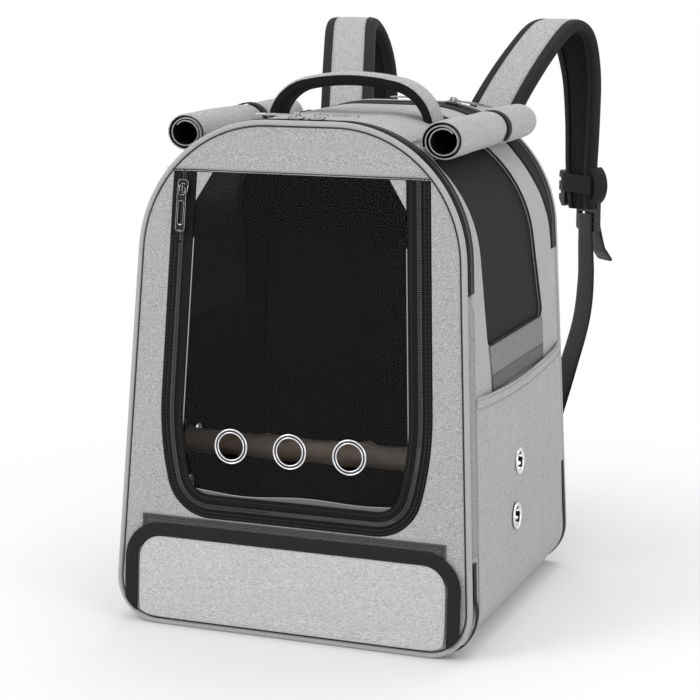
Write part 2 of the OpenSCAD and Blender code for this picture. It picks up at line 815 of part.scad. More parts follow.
// A band swept along a route. Each station is [x, y, z, turn, width, thickness]; turn is the
// direction of the band's width about Z, measured from +X.
module swept_band(stations, steps) {
    s = smooth_path(stations, steps);
    n = len(s);
    at = [for (q = s) [q[0], q[1], q[2]]];
    dir = [for (i = [0:n - 1]) unit(at[min(i + 1, n - 1)] - at[max(i - 1, 0)])];
    across = [for (i = [0:n - 1]) let (w = [cos(s[i][3]), sin(s[i][3]), 0]) unit(w - (w * dir[i]) * dir[i])];
    up = [for (i = [0:n - 1]) cross(dir[i], across[i])];
    section = [[-1, 0], [-0.9, -0.72], [-0.72, -1], [0.72, -1], [0.9, -0.72],
               [1, 0], [0.9, 0.72], [0.72, 1], [-0.72, 1], [-0.9, 0.72]];
    m = len(section);
    points = [for (i = [0:n - 1]) for (c = section)
        at[i] + across[i] * c[0] * s[i][4] / 2 + up[i] * c[1] * s[i][5] / 2];
    walls = [for (i = [0:n - 2]) for (j = [0:m - 1]) let (k = (j + 1) % m)
        each [[i * m + j, (i + 1) * m + j, i * m + k], [i * m + k, (i + 1) * m + j, (i + 1) * m + k]]];
    start = [for (j = [1:m - 2]) [0, j, j + 1]];
    end = [for (j = [1:m - 2]) let (b = (n - 1) * m) [b, b + j + 1, b + j]];
    polyhedron(points, concat(walls, start, end));
}

strap_out = back_y + 4;
// Padded part: up from the yoke, over the wearer's shoulder line and down
strap_right_route = [
    [66, strap_out + 4, 372, 0, strap_w, 5],
    [69, strap_out + 12, 398, 0, strap_w, strap_t],
    [76, strap_out + 36, 428, -4, strap_w, strap_t],
    [90, strap_out + 80, 468, -9, strap_w, strap_t],
    [103, strap_out + 122, 494, -14, strap_w, strap_t],
    [115, strap_out + 148, 486, -24, strap_w, strap_t],
    [123, strap_out + 154, 450, -34, strap_w, strap_t],
    [126, strap_out + 152, 405, -40, strap_w - 2, strap_t],
    [127, strap_out + 148, 355, -42, strap_w - 6, strap_t],
    [129, strap_out + 146, 316, -42, strap_w - 12, strap_t - 2]];
strap_left_route = [
    [-66, strap_out + 4, 372, 0, strap_w, 5],
    [-69, strap_out + 12, 398, 0, strap_w, strap_t],
    [-77, strap_out + 36, 428, 4, strap_w, strap_t],
    [-92, strap_out + 80, 468, 6, strap_w, strap_t],
    [-105, strap_out + 122, 494, 2, strap_w, strap_t],
    [-104, strap_out + 150, 484, -4, strap_w, strap_t],
    [-96, strap_out + 158, 450, -8, strap_w, strap_t],
    [-92, strap_out + 154, 405, -8, strap_w - 2, strap_t],
    [-95, strap_out + 148, 355, -4, strap_w - 6, strap_t],
    [-101, strap_out + 146, 316, 0, strap_w - 12, strap_t - 2]];
module shoulder_strap_right() color(black) swept_band(strap_right_route, 4);
module shoulder_strap_left() color(black) swept_band(strap_left_route, 4);

webbing_t = 1.6;
webbing_right_route = [
    [131.8, strap_out + 149.1, 311, -42, webbing_w, webbing_t],
    [133, strap_out + 147, 284, -42, webbing_w, webbing_t],
    [139, strap_out + 128, 250, -42, webbing_w, webbing_t],
    [143, strap_out + 98, 214, -40, webbing_w, webbing_t],
    [140, strap_out + 60, 172, -34, webbing_w, webbing_t],
    [132, strap_out + 26, 124, -20, webbing_w, webbing_t],
    [121, strap_out + 4, 80, 0, webbing_w, webbing_t],
    [118, strap_out + 0.4, 58, 0, webbing_w, webbing_t]];
webbing_left_route = [
    [-101, strap_out + 150.2, 311, 0, webbing_w, webbing_t],
    [-103, strap_out + 148, 284, 0, webbing_w, webbing_t],
    [-112, strap_out + 129, 250, 6, webbing_w, webbing_t],
    [-122, strap_out + 98, 214, 10, webbing_w, webbing_t],
    [-130, strap_out + 60, 172, 12, webbing_w, webbing_t],
    [-130, strap_out + 26, 124, 10, webbing_w, webbing_t],
    [-121, strap_out + 4, 80, 0, webbing_w, webbing_t],
    [-118, strap_out + 0.4, 58, 0, webbing_w, webbing_t]];
module strap_webbing_right() color(black) swept_band(webbing_right_route, 3);
module strap_webbing_left() color(black) swept_band(webbing_left_route, 3);

// The frame of a strap's lower end: X across the strap, Y away from the wearer, Z up
module at_strap_end(route) {
    e = route[len(route) - 1];
    translate([e[0], e[1], e[2]]) rotate([0, 0, e[3]]) children();
}
lock_w = webbing_w + 11;
lock_h = 34;
// Ladder lock: a frame with a fixed top bar and two grip bars, and a lip to lift
module ladder_lock() {
    translate([0, 0, -5]) {
        along_y(strap_t / 2 + 0.3, strap_t / 2 + 5.4) difference() {
            translate([0, -lock_h / 2]) belt([
                [-lock_w / 2 + 4, 4, 4], [lock_w / 2 - 4, 4, 4],
                [lock_w / 2 - 4, lock_h - 4, 4], [-lock_w / 2 + 4, lock_h - 4, 4]]);
            for (z = [-11, -2.5, 7]) translate([-webbing_w / 2 - 1, z]) square([webbing_w + 2, 4.2]);
        }
        translate([-lock_w / 2 + 3, strap_t / 2 + 5.4, -lock_h / 2 + 0.5]) cube([lock_w - 6, 2.5, 3]);
    }
}
module ladder_locks() {
    color(black) {
        at_strap_end(strap_right_route) ladder_lock();
        at_strap_end(strap_left_route) ladder_lock();
    }
}
// Spare webbing that leaves the lock, with a thicker end where it is doubled and sewn
tail_route = [
    [0, strap_t / 2 + 6.7, -4, 0, webbing_w, webbing_t],
    [0, strap_t / 2 + 7.4, -9, 0, webbing_w, webbing_t],
    [0, strap_t / 2 + 10.4, -22, 0, webbing_w, webbing_t],
    [0, strap_t / 2 + 15, -38, 0, webbing_w, webbing_t],
    [0, strap_t / 2 + 17.5, -43, 0, webbing_w, webbing_t * 2.2],
    [0, strap_t / 2 + 24, -52, 0, webbing_w, webbing_t * 2.2]];
module webbing_tails() {
    color(black) {
        at_strap_end(strap_right_route) swept_band(tail_route, 3);
        at_strap_end(strap_left_route) swept_band(tail_route, 3);
    }
}
// Chest strap: a webbing collar round each shoulder strap, with a D-shaped loop on its outer edge
chest_z = 25;
collar_h = 18;
// The part of a disc that lies beyond a line
module loop_disc(r, from) {
    intersection() {
        translate([-9, 0]) circle(r);
        translate([from, -r]) square(2 * r);
    }
}
module chest_loop(shift, lift, half, thick) {
    translate([-shift, lift, chest_z]) {
        translate([0, 0, -collar_h / 2]) linear_extrude(collar_h) difference() {
            square([2 * half + 3, 2 * thick + 3], center = true);
            square([2 * half, 2 * thick], center = true);
        }
        translate([half + 1.4, 0, 0]) along_y(-7, 7) difference() {
            loop_disc(20, 0);
            loop_disc(17.8, 1.8);
        }
    }
}
module chest_buckle(shift, lift, half) {
    translate([-shift - half - 1.5 - gap, lift, chest_z - 3]) along_y(-4, 4) difference() {
        belt([[-7, -14, 3], [-3.2, -19, 3], [-3.2, 9, 3.2], [-6, 10, 4]]);
        for (z = [-10, 3]) translate([-12, z]) square([5, 3.5]);
    }
}
module chest_loops() {
    color(black) {
        at_strap_end(strap_right_route) chest_loop(1.7, 0.1, 22.5, 5.4);
        at_strap_end(strap_left_route) mirror([1, 0, 0]) chest_loop(3.7, 1, 24.4, 6.2);
    }
}
module chest_buckles() {
    color(black) {
        at_strap_end(strap_right_route) chest_buckle(1.7, 0.1, 22.5);
        at_strap_end(strap_left_route) mirror([1, 0, 0]) chest_buckle(3.7, 1, 24.4);
    }
}
module lower_anchors() {
    color(black) mirrored() along_y(back_y + 0.1 - panel_d, back_y + 3.2)
        polygon([[104, 40], [lower_x + 16, 40], [lower_x + 12, 72], [110, 72]]);
}

front_panel();
top_panel();
side_panel_left();
side_panel_right();
base_panel();
base_board();
back_panel();
lining();
front_piping();
back_piping();
front_zip_tape();
front_zip_teeth();
back_zip_tape();
back_zip_teeth();
window_frame_tape();
window_frame_teeth();
window_door_tape();
window_door_teeth();
window_sheet();
window_corner_patches();
window_eyelets();
window_slider();
window_pull();
front_slider_left();
front_pull_left();
front_slider_right();
front_pull_right();
back_slider_left();
back_slider_right();
back_pull_left();
back_pull_right();
tray_flap_panel();
tray_flap_binding();
tray_flap_loop_strip();
flap_hook_strip();
floor_tray();
perch();
perch_cups();
mesh_window_left();
mesh_window_right();
side_pocket_left();
side_pocket_right();
side_eyelets();
corner_guards();
rolled_flap_left();
rolled_flap_right();
flap_ties();
handle_cover();
handle_core();
handle_patches();
back_pads();
strap_yoke();
shoulder_strap_left();
shoulder_strap_right();
strap_webbing_left();
strap_webbing_right();
ladder_locks();
webbing_tails();
chest_loops();
chest_buckles();
lower_anchors();
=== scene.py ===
"""Looks of a soft-sided bird carrier backpack: sewn cloth, zips, clear window, straps."""

import math
import bmesh
import bpy
from bpy.props import FloatProperty, FloatVectorProperty, IntProperty, PointerProperty
from mathutils import Matrix, Vector, noise
from mathutils.geometry import delaunay_2d_cdt


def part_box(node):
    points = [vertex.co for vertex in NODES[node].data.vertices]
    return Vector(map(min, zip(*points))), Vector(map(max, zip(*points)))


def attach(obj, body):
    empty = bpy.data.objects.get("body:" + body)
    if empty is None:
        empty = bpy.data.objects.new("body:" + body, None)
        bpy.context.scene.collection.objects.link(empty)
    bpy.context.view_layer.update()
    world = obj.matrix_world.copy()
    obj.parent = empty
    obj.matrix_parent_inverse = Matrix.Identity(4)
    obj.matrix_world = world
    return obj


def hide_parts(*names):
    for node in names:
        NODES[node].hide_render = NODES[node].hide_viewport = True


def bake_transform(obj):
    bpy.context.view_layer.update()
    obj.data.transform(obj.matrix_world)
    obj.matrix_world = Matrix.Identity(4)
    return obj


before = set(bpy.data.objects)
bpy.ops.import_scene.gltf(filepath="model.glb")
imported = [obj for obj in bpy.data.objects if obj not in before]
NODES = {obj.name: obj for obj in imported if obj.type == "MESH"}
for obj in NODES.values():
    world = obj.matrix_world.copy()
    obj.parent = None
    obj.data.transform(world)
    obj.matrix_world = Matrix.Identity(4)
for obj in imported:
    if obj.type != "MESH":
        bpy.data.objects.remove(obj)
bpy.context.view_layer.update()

bl_info = {
    "name": "Bird carrier backpack",
    "version": (1, 0, 0),
    "blender": (4, 5, 0),
    "location": "View3D > Sidebar > Carrier",
    "description": "Builds the looks of a soft-sided bird carrier backpack on its frame",
    "category": "Object",
}

SHELL = "carrier_body"
MM = 0.001

# ---------------------------------------------------------------- the carrier's own lines, in mm

BODY_W, BODY_H = 320.0, 430.0
SHOULDER_R, LOWER_R, CROWN_HALF = 115.0, 38.0, 30.0
LEAN = math.radians(4.5)
FRONT_Y, BACK_Y = -150.0, 150.0
LOWER_X = BODY_W / 2 - LOWER_R
SKIN_IN = 2.0
ZIP_FRONT, ZIP_REAR = 5.6, 22.6
WINDOW_TOP = 387.0


def line_between(low, high):
    """Normal angle and ends of the straight side between the lower and the shoulder circle."""
    (ax, az, ar), (bx, bz, br) = low, high
    gap = math.hypot(bx - ax, bz - az)
    turn = math.atan2(bz - az, bx - ax) - math.acos((ar - br) / gap)
    n = Vector((math.cos(turn), math.sin(turn)))
    return turn, Vector((ax, az)) + ar * n, Vector((bx, bz)) + br * n


SIDE_TURN, SIDE_LOW, SIDE_HIGH = line_between(
    (LOWER_X, LOWER_R, LOWER_R), (CROWN_HALF, BODY_H - SHOULDER_R, SHOULDER_R))
ARC_SHOULDER = SHOULDER_R * (math.pi / 2 - SIDE_TURN)
SIDE_LENGTH = (SIDE_HIGH - SIDE_LOW).length
ARC_LOWER = LOWER_R * (SIDE_TURN + math.pi / 2)
# distances along the arch from the crown's middle to the end of its shoulder, side and lower corner
TO_SIDE = CROWN_HALF + ARC_SHOULDER
TO_LOWER = TO_SIDE + SIDE_LENGTH
TO_FOOT = TO_LOWER + ARC_LOWER


def arch(s, inset=0.0, raised=0.0):
    """Point and outward normal on the arch, s mm from the middle of the crown (right is +)."""
    side = -1 if s < 0 else 1
    t = abs(s)
    if t <= CROWN_HALF:
        p, n = Vector((t, BODY_H)), Vector((0, 1))
    elif t <= TO_SIDE:
        a = math.pi / 2 - (t - CROWN_HALF) / SHOULDER_R
        n = Vector((math.cos(a), math.sin(a)))
        p = Vector((CROWN_HALF, BODY_H - SHOULDER_R)) + SHOULDER_R * n
    elif t <= TO_LOWER:
        n = Vector((math.cos(SIDE_TURN), math.sin(SIDE_TURN)))
        k = (t - TO_SIDE) / SIDE_LENGTH
        p = SIDE_HIGH.lerp(SIDE_LOW, k)
    elif t <= TO_FOOT:
        a = SIDE_TURN - (t - TO_LOWER) / LOWER_R
        n = Vector((math.cos(a), math.sin(a)))
        p = Vector((LOWER_X, LOWER_R)) + LOWER_R * n
    else:
        n = Vector((0, -1))
        p = Vector((LOWER_X - (t - TO_FOOT), 0))
    p = p - inset * n
    high = 1 + raised * p.y / BODY_H
    return Vector((side * p.x, p.y * high)), Vector((side * n.x, n.y))


def s_at_height(z):
    """Distance along the right half of the arch at which it reaches a height on its side."""
    low, high = CROWN_HALF, TO_FOOT
    for _ in range(40):
        mid = (low + high) / 2
        if arch(mid)[0].y > z:
            low = mid
        else:
            high = mid
    return low


def front_y(z, depth):
    """Y of the plane that lies a depth behind the leaning front, at a height."""
    return FRONT_Y + z * math.tan(LEAN) + depth / math.cos(LEAN)


def skin_frame(s, y, inset, side=1):
    """Point in metres and outward normal on the gusset; a side of -1 mirrors both."""
    p, n = arch(s, inset)
    return Vector((side * p.x, y, p.y)) * MM, Vector((side * n.x, 0, n.y))


def on_skin(s, y, inset):
    return skin_frame(s, y, inset)[0]


def side_point(side, s, y, inset):
    return skin_frame(s, y, inset, side)[0]


def on_front(x, v, out):
    """Point in metres: x across, v up the leaning front, out towards the viewer."""
    return Vector((x, FRONT_Y + v * math.sin(LEAN) - out * math.cos(LEAN),
                   v * math.cos(LEAN) + out * math.sin(LEAN))) * MM


def on_back(x, z, out):
    """Point in metres on the upright back."""
    return Vector((x, BACK_Y + out, z)) * MM


FRONT_HEIGHT = BODY_H / math.cos(LEAN)


def arch_outline(inset, height=BODY_H, step=9.0):
    """Closed outline of the arch as (x, height) pairs."""
    marks = [0, CROWN_HALF]
    for start, length, n in ((CROWN_HALF, ARC_SHOULDER, int(ARC_SHOULDER / step)),
                             (TO_SIDE, SIDE_LENGTH, int(SIDE_LENGTH / 40)), (TO_LOWER, ARC_LOWER, 12)):
        marks += [start + length * i / n for i in range(1, n + 1)]
    right = [arch(s, inset, height / BODY_H - 1)[0] for s in marks]
    left = [Vector((-p.x, p.y)) for p in reversed(right[1:])]
    return [(p.x, p.y) for p in right + left]


def arc(cx, cz, r, start, end, steps):
    """Points on an arc, with its angles in degrees."""
    return [(cx + r * math.cos(math.radians(start + (end - start) * i / steps)),
             cz + r * math.sin(math.radians(start + (end - start) * i / steps)))
            for i in range(steps + 1)]


def rounded_box(x0, z0, x1, z1, r, steps=6):
    """Closed outline of a rectangle with round corners, anticlockwise."""
    return (arc(x1 - r, z0 + r, r, -90, 0, steps) + arc(x1 - r, z1 - r, r, 0, 90, steps)
            + arc(x0 + r, z1 - r, r, 90, 180, steps) + arc(x0 + r, z0 + r, r, 180, 270, steps))


# The U-shaped window zip: straight legs, one wide bend and a tight lower corner on each side
WINDOW_HALF, WINDOW_TOP_HALF = 120.5, 112.5
LEG_FOOT, U_FOOT = 200.0, 96.0
LEG_TILT = math.atan2(WINDOW_HALF - WINDOW_TOP_HALF, WINDOW_TOP - LEG_FOOT)
BEND_R, BEND_END = 260.0, -13.9
BEND = (WINDOW_HALF - BEND_R * math.cos(LEG_TILT), LEG_FOOT - BEND_R * math.sin(LEG_TILT))
BEND_WAY = (math.cos(math.radians(BEND_END)), math.sin(math.radians(BEND_END)))
JOIN = (BEND[0] + BEND_R * BEND_WAY[0], BEND[1] + BEND_R * BEND_WAY[1])
CORNER_R = (JOIN[1] - U_FOOT) / (1 + BEND_WAY[1])
CORNER = (JOIN[0] - CORNER_R * BEND_WAY[0], JOIN[1] - CORNER_R * BEND_WAY[1])


def leg_x(v, inset):
    """Half width of the U's straight part at a height, that far inside its edge."""
    return WINDOW_HALF - (v - LEG_FOOT) * math.tan(LEG_TILT) - inset / math.cos(LEG_TILT)


def leg_point(inset, v):
    """A point on the left leg at a height."""
    return -leg_x(v, inset), v


def u_half(inset, top=WINDOW_TOP):
    """Right half of the U, from its top to its lowest corner, drawn in by an inset."""
    return ([(leg_x(top, inset), top)]
            + arc(*BEND, BEND_R - inset, math.degrees(LEG_TILT), BEND_END, 10)
            + arc(*CORNER, CORNER_R - inset, BEND_END, -90, 12)[1:])


def u_line(inset, top=WINDOW_TOP):
    """The whole U from the top right, round below, to the top left."""
    half = u_half(inset, top)
    return half + [(-x, v) for x, v in reversed(half)]


def open_u(inset, cut):
    """The U without what stands above a height of its left leg."""
    return [p for p in u_line(inset) if not (p[0] < 0 and p[1] > cut)]


def resample(points, step, closed=False):
    """Points at an even step along a line, each with its direction."""
    pts = [Vector(p) for p in points]
    if closed:
        pts.append(pts[0].copy())
    lengths = [(b - a).length for a, b in zip(pts, pts[1:])]
    total = sum(lengths)
    count = max(2, round(total / step))
    out, i, passed = [], 0, 0.0
    for k in range(count + (0 if closed else 1)):
        at = total * k / count
        while i < len(lengths) - 1 and passed + lengths[i] < at:
            passed += lengths[i]
            i += 1
        along = pts[i + 1] - pts[i]
        f = (at - passed) / lengths[i] if lengths[i] else 0
        out.append((pts[i] + along * f, along.normalized()))
    return out


def smooth_step(x):
    """0 below 0, 1 above 1 and an S curve between."""
    x = min(1.0, max(0.0, x))
    return x * x * (3 - 2 * x)


def edge_rise(t, edge):
    """0 at both ends of a range from 0 to 1, 1 inside it."""
    return smooth_step(t / edge) * smooth_step((1 - t) / edge)


def ripple(p, size, seed=0.0):
    """Soft noise from -1 to 1 for a point in metres; size is the ripple's width in mm."""
    return noise.noise(Vector(p) / (size * MM) + Vector((seed, seed * 1.7, seed * 0.3)))


# ---------------------------------------------------------------- making pieces


def piece(bm, name, look, body=SHELL, replaces=None, sharp=40, thick=0.0, offset=-1.0,
          bevel=0.0, levels=0):
    """Turn a bmesh into an object with a finish that rides on a body of the frame."""
    mesh = bpy.data.meshes.new(name)
    bm.to_mesh(mesh)
    bm.free()
    obj = bpy.data.objects.new(name, mesh)
    bpy.context.scene.collection.objects.link(obj)
    mesh.materials.append(finish(look))
    mesh.shade_smooth()
    mesh.set_sharp_from_angle(angle=math.radians(sharp))
    if body:
        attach(obj, body)
    if replaces:
        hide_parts(replaces)
    if thick:
        thicken(obj, thick, offset)
    if bevel:
        round_edges(obj, bevel)
    if levels:
        subdivide(obj, levels)
    return obj


def thicken(obj, mm, offset=-1.0):
    """Give a sheet its thickness."""
    m = obj.modifiers.new("thickness", "SOLIDIFY")
    m.thickness = mm * MM
    m.offset = offset
    return m


def round_edges(obj, mm, segments=2, angle=35):
    """Round the edges that turn by more than an angle."""
    m = obj.modifiers.new("edges", "BEVEL")
    m.width = mm * MM
    m.segments = segments
    m.limit_method = "ANGLE"
    m.angle_limit = math.radians(angle)
    m.harden_normals = False


def subdivide(obj, levels=1):
    """Smooth a piece by subdivision."""
    m = obj.modifiers.new("smooth", "SUBSURF")
    m.levels = m.render_levels = levels


def dress(look, *names, edges=0.0, segments=2):
    """Give CAD nodes a finish, and round their edges by so many mm."""
    for name in names:
        mesh = NODES[name].data
        mesh.materials.clear()
        mesh.materials.append(finish(look))
        if edges:
            weld = NODES[name].modifiers.new("weld", "WELD")
            weld.merge_threshold = 0.00001
            round_edges(NODES[name], edges, segments, 40)


def grid(cols, rows, place, wrap=False, fill=False):
    """A sheet of cols by rows cells whose corners a function of (u, w) puts in place."""
    bm = bmesh.new()
    bm.loops.layers.uv.new("UVMap")
    bmesh.ops.create_grid(bm, x_segments=cols, y_segments=rows, size=0.5, calc_uvs=True)
    for v in bm.verts:
        v.co = place(v.co.x + 0.5, v.co.y + 0.5)
    if wrap:
        bmesh.ops.remove_doubles(bm, verts=bm.verts, dist=1e-6)
    if fill:
        edges = [e for e in bm.edges if e.is_boundary]
        bmesh.ops.holes_fill(bm, edges=edges, sides=0)
    bmesh.ops.recalc_face_normals(bm, faces=bm.faces)
    return bm


def flat_slab(loops, low, high, place):
    """A flat plate with holes: outlines in its own plane, from one height to another."""
    bm = bmesh.new()
    for loop in loops:
        verts = [bm.verts.new((x, z, low)) for x, z in loop]
        for a, b in zip(verts, verts[1:] + verts[:1]):
            bm.edges.new((a, b))
    bmesh.ops.triangle_fill(bm, use_beauty=True, edges=bm.edges)
    out = bmesh.ops.extrude_face_region(bm, geom=bm.faces[:])
    top = [g for g in out["geom"] if isinstance(g, bmesh.types.BMVert)]
    bmesh.ops.translate(bm, verts=top, vec=(0, 0, high - low))
    for v in bm.verts:
        v.co = place(*v.co)
    bmesh.ops.recalc_face_normals(bm, faces=bm.faces)
    return bm


def inside(p, loop):
    """True where a point lies inside a closed outline."""
    x, z = p
    odd = False
    for (ax, az), (bx, bz) in zip(loop, loop[1:] + loop[:1]):
        if (az > z) != (bz > z) and x < (bx - ax) * (z - az) / (bz - az) + ax:
            odd = not odd
    return odd


def holed_sheet(outer, holes, step, place):
    """A sheet with holes: its plane is filled with even triangles, then laid by a function."""
    loops = [[tuple(p) for p in outer]] + [[tuple(p) for p in hole] for hole in holes]
    coords, edges = [], []
    for loop in loops:
        first = len(coords)
        coords += [Vector(p) for p in loop]
        edges += [(first + i, first + (i + 1) % len(loop)) for i in range(len(loop))]
    near = {(round(c.x / step), round(c.y / step)) for c in coords}
    xs, zs = [p[0] for p in outer], [p[1] for p in outer]
    for i in range(math.ceil(min(xs) / step), math.floor(max(xs) / step) + 1):
        for k in range(math.ceil(min(zs) / step), math.floor(max(zs) / step) + 1):
            p = (i * step, k * step)
            if (i, k) not in near and inside(p, loops[0]) and not any(inside(p, h) for h in loops[1:]):
                coords.append(Vector(p))
    verts, _, faces, *_ = delaunay_2d_cdt(coords, edges, [], 0, 1e-4)
    bm = bmesh.new()
    made = [bm.verts.new(place(v.x, v.y)) for v in verts]
    for face in faces:
        mid = sum((verts[i] for i in face), Vector((0, 0))) / len(face)
        p = (mid.x, mid.y)
        if inside(p, loops[0]) and not any(inside(p, h) for h in loops[1:]):
            bm.faces.new([made[i] for i in face])
    bmesh.ops.delete(bm, geom=[v for v in bm.verts if not v.link_faces], context="VERTS")
    bmesh.ops.recalc_face_normals(bm, faces=bm.faces)
    return bm


def outward(bm, towards):
    """Turn a sheet's faces so that its normals point the way a function of place gives."""
    bm.normal_update()
    away = sum(1 if f.normal.dot(towards(f.calc_center_median())) < 0 else -1 for f in bm.faces)
    if away > 0:
        bmesh.ops.reverse_faces(bm, faces=bm.faces)
    return bm


def distance_to(y, t, loop):
    """Least distance from a point to a closed outline."""
    here, least = Vector((y, t)), 1e9
    for a, b in zip(loop, loop[1:] + loop[:1]):
        start, along = Vector(a), Vector(b) - Vector(a)
        k = max(0.0, min(1.0, (here - start).dot(along) / max(along.length_squared, 1e-9)))
        least = min(least, (here - start - along * k).length)
    return least


def circle(x, z, r, steps=28):
    """Points round a circle."""
    return [(x + r * math.cos(2 * math.pi * i / steps), z + r * math.sin(2 * math.pi * i / steps))
            for i in range(steps)]


def tube(points, radius, closed=False, sides=10):
    """A round cord along points in metres, as a bmesh."""
    curve = bpy.data.curves.new("cord", "CURVE")
    curve.dimensions = "3D"
    curve.bevel_depth = radius * MM
    curve.bevel_resolution = max(1, sides // 4)
    curve.use_fill_caps = not closed
    spline = curve.splines.new("POLY")
    spline.points.add(len(points) - 1)
    for point, at in zip(spline.points, points):
        point.co = (*at, 1)
    spline.use_cyclic_u = closed
    holder = bpy.data.objects.new("cord", curve)
    mesh = bpy.data.meshes.new_from_object(holder)
    bm = bmesh.new()
    bm.from_mesh(mesh)
    bpy.data.objects.remove(holder)
    bpy.data.curves.remove(curve)
    bpy.data.meshes.remove(mesh)
    bmesh.ops.remove_doubles(bm, verts=bm.verts, dist=1e-6)
    bmesh.ops.recalc_face_normals(bm, faces=bm.faces)
    return bm


def cord_on(place, points, out, radius, closed=False, sides=8):
    """A round cord along points of a plane."""
    return tube([place(x, v, out) for x, v in points], radius, closed, sides)


def merge(*parts):
    """Several bmeshes in one."""
    whole = bmesh.new()
    for part in parts:
        mesh = bpy.data.meshes.new("part")
        part.to_mesh(mesh)
        part.free()
        whole.from_mesh(mesh)
        bpy.data.meshes.remove(mesh)
    return whole


def pillow(outline, low, high, crown, place, rings=7, power=4.0, bumps=None):
    """A stuffed pad: an outline in its plane, flat below, crowned above, drawn in at its rim."""
    n, (xs, zs) = len(outline), zip(*outline)
    mid = Vector(((min(xs) + max(xs)) / 2, (min(zs) + max(zs)) / 2))

    def put(u, w):
        r = w * 2 if w <= 0.5 else (1 - w) * 2
        r = 0.04 + 0.96 * (1 - (1 - r) ** 1.5)
        q = mid.lerp(Vector(outline[round(u * n) % n]), r)
        rim = (low + high) / 2
        swell = (1 - r ** power) ** 0.5
        if w <= 0.5:
            h = rim + (high - rim) * swell + crown * (1 - r * r)
        else:
            h = rim - (rim - low) * swell
        if bumps and w <= 0.5:
            h += bumps(q.x, q.y) * (1 - r ** 6)
        return place(q.x, q.y, h)

    return grid(n, 2 * rings, put, wrap=True, fill=True)


def route_points(stations, steps):
    """Catmull-Rom points through stations of [x, y, z, turn, width, thickness] in mm."""
    out = []
    last = len(stations) - 1

    def at(i):
        return stations[min(max(i, 0), last)]

    for i in range(last):
        a, b, c, d = at(i - 1), at(i), at(i + 1), at(i + 2)
        for k in range(steps):
            t = k / steps
            out.append([0.5 * (2 * q + (r - p) * t + (2 * p - 5 * q + 4 * r - s) * t * t
                               + (3 * q - p - 3 * r + s) * t * t * t)
                        for p, q, r, s in zip(a, b, c, d)])
    out.append(list(stations[last]))
    return out


def band_axes(along, turn):
    """Directions across a band and out of it, for its direction and its turn about Z in degrees."""
    w = Vector((math.cos(math.radians(turn)), math.sin(math.radians(turn)), 0))
    across = (w - along * w.dot(along)).normalized()
    return across, along.cross(across)


def sweep_band(stations, steps, section, closed=True):
    """Sweep a section, a function of (width, thickness) that gives (across, up) points in mm."""
    rows = route_points(stations, steps)
    n = len(rows)
    at = [Vector(r[:3]) for r in rows]
    frames = []
    for i in range(n):
        along = (at[min(i + 1, n - 1)] - at[max(i - 1, 0)]).normalized()
        frames.append((at[i], *band_axes(along, rows[i][3])))
    count = len(section(1, 1))
    cols = n - 1
    rows_n = count if closed else count - 1

    def put(u, w):
        i = round(u * cols)
        p, across, up = frames[i]
        shape = section(rows[i][4], rows[i][5])
        a, b = shape[round(w * rows_n) % count]
        return (p + across * a + up * b) * MM

    return grid(cols, rows_n, put, wrap=closed, fill=closed)


def soft_section(w, t, n=20, power=3.2, trim=0.0):
    """Closed section of a padded band."""
    out = []
    for i in range(n):
        a = 2 * math.pi * i / n
        c, s = math.cos(a), math.sin(a)
        out.append((math.copysign(abs(c) ** (2 / power), c) * (w / 2 - trim),
                    math.copysign(abs(s) ** (2 / power), s) * (t / 2 - trim)))
    return out


def stitches(run, length=2.3, width=0.55, height=0.45):
    """Sewn stitches along [(point, direction, normal)], with the points in metres."""
    bm = bmesh.new()
    for at, along, normal in run:
        side = normal.cross(along).normalized()
        turn = Matrix((along, side, normal)).transposed().to_4x4()
        size = Matrix.Diagonal((length * MM, width * MM, height * MM, 1))
        bmesh.ops.create_cube(bm, size=1, matrix=Matrix.Translation(at) @ turn @ size)
    return bm


def skin_run(path, inset, pitch=3.4):
    """Stitch places along (s, y) points on the gusset."""
    run = []
    for p, d in resample(path, pitch):
        a, b = (on_skin(*(p + d * k), inset) for k in (-0.5, 0.5))
        run.append(((a + b) / 2, (b - a).normalized(), skin_frame(p.x, 0, 0)[1]))
    return run


def plane_run(path, place, height, pitch=3.4, closed=False):
    """Stitch places along (x, v) points in a plane."""
    run = []
    normal = (place(0, 0, 1) - place(0, 0, 0)).normalized()
    for p, d in resample(path, pitch, closed):
        a, b = (place(*(p + d * k), height) for k in (-0.5, 0.5))
        run.append(((a + b) / 2, (b - a).normalized(), normal))
    return run


def coil(run, half, radius=0.55, slant=0.25, offset=0.0):
    """Zip coil: small round bars across the line, each set a little askew."""
    bm = bmesh.new()
    for at, along, normal in run:
        side = normal.cross(along).normalized()
        axis = (side + along * slant).normalized()
        third = axis.cross(normal).normalized()
        turn = Matrix((third, normal, axis)).transposed().to_4x4()
        place = Matrix.Translation(at + side * offset * MM) @ turn
        bmesh.ops.create_cone(bm, cap_ends=True, segments=6, radius1=radius * MM,
                              radius2=radius * MM, depth=half * MM, matrix=place)
    return bm


# ---------------------------------------------------------------- materials


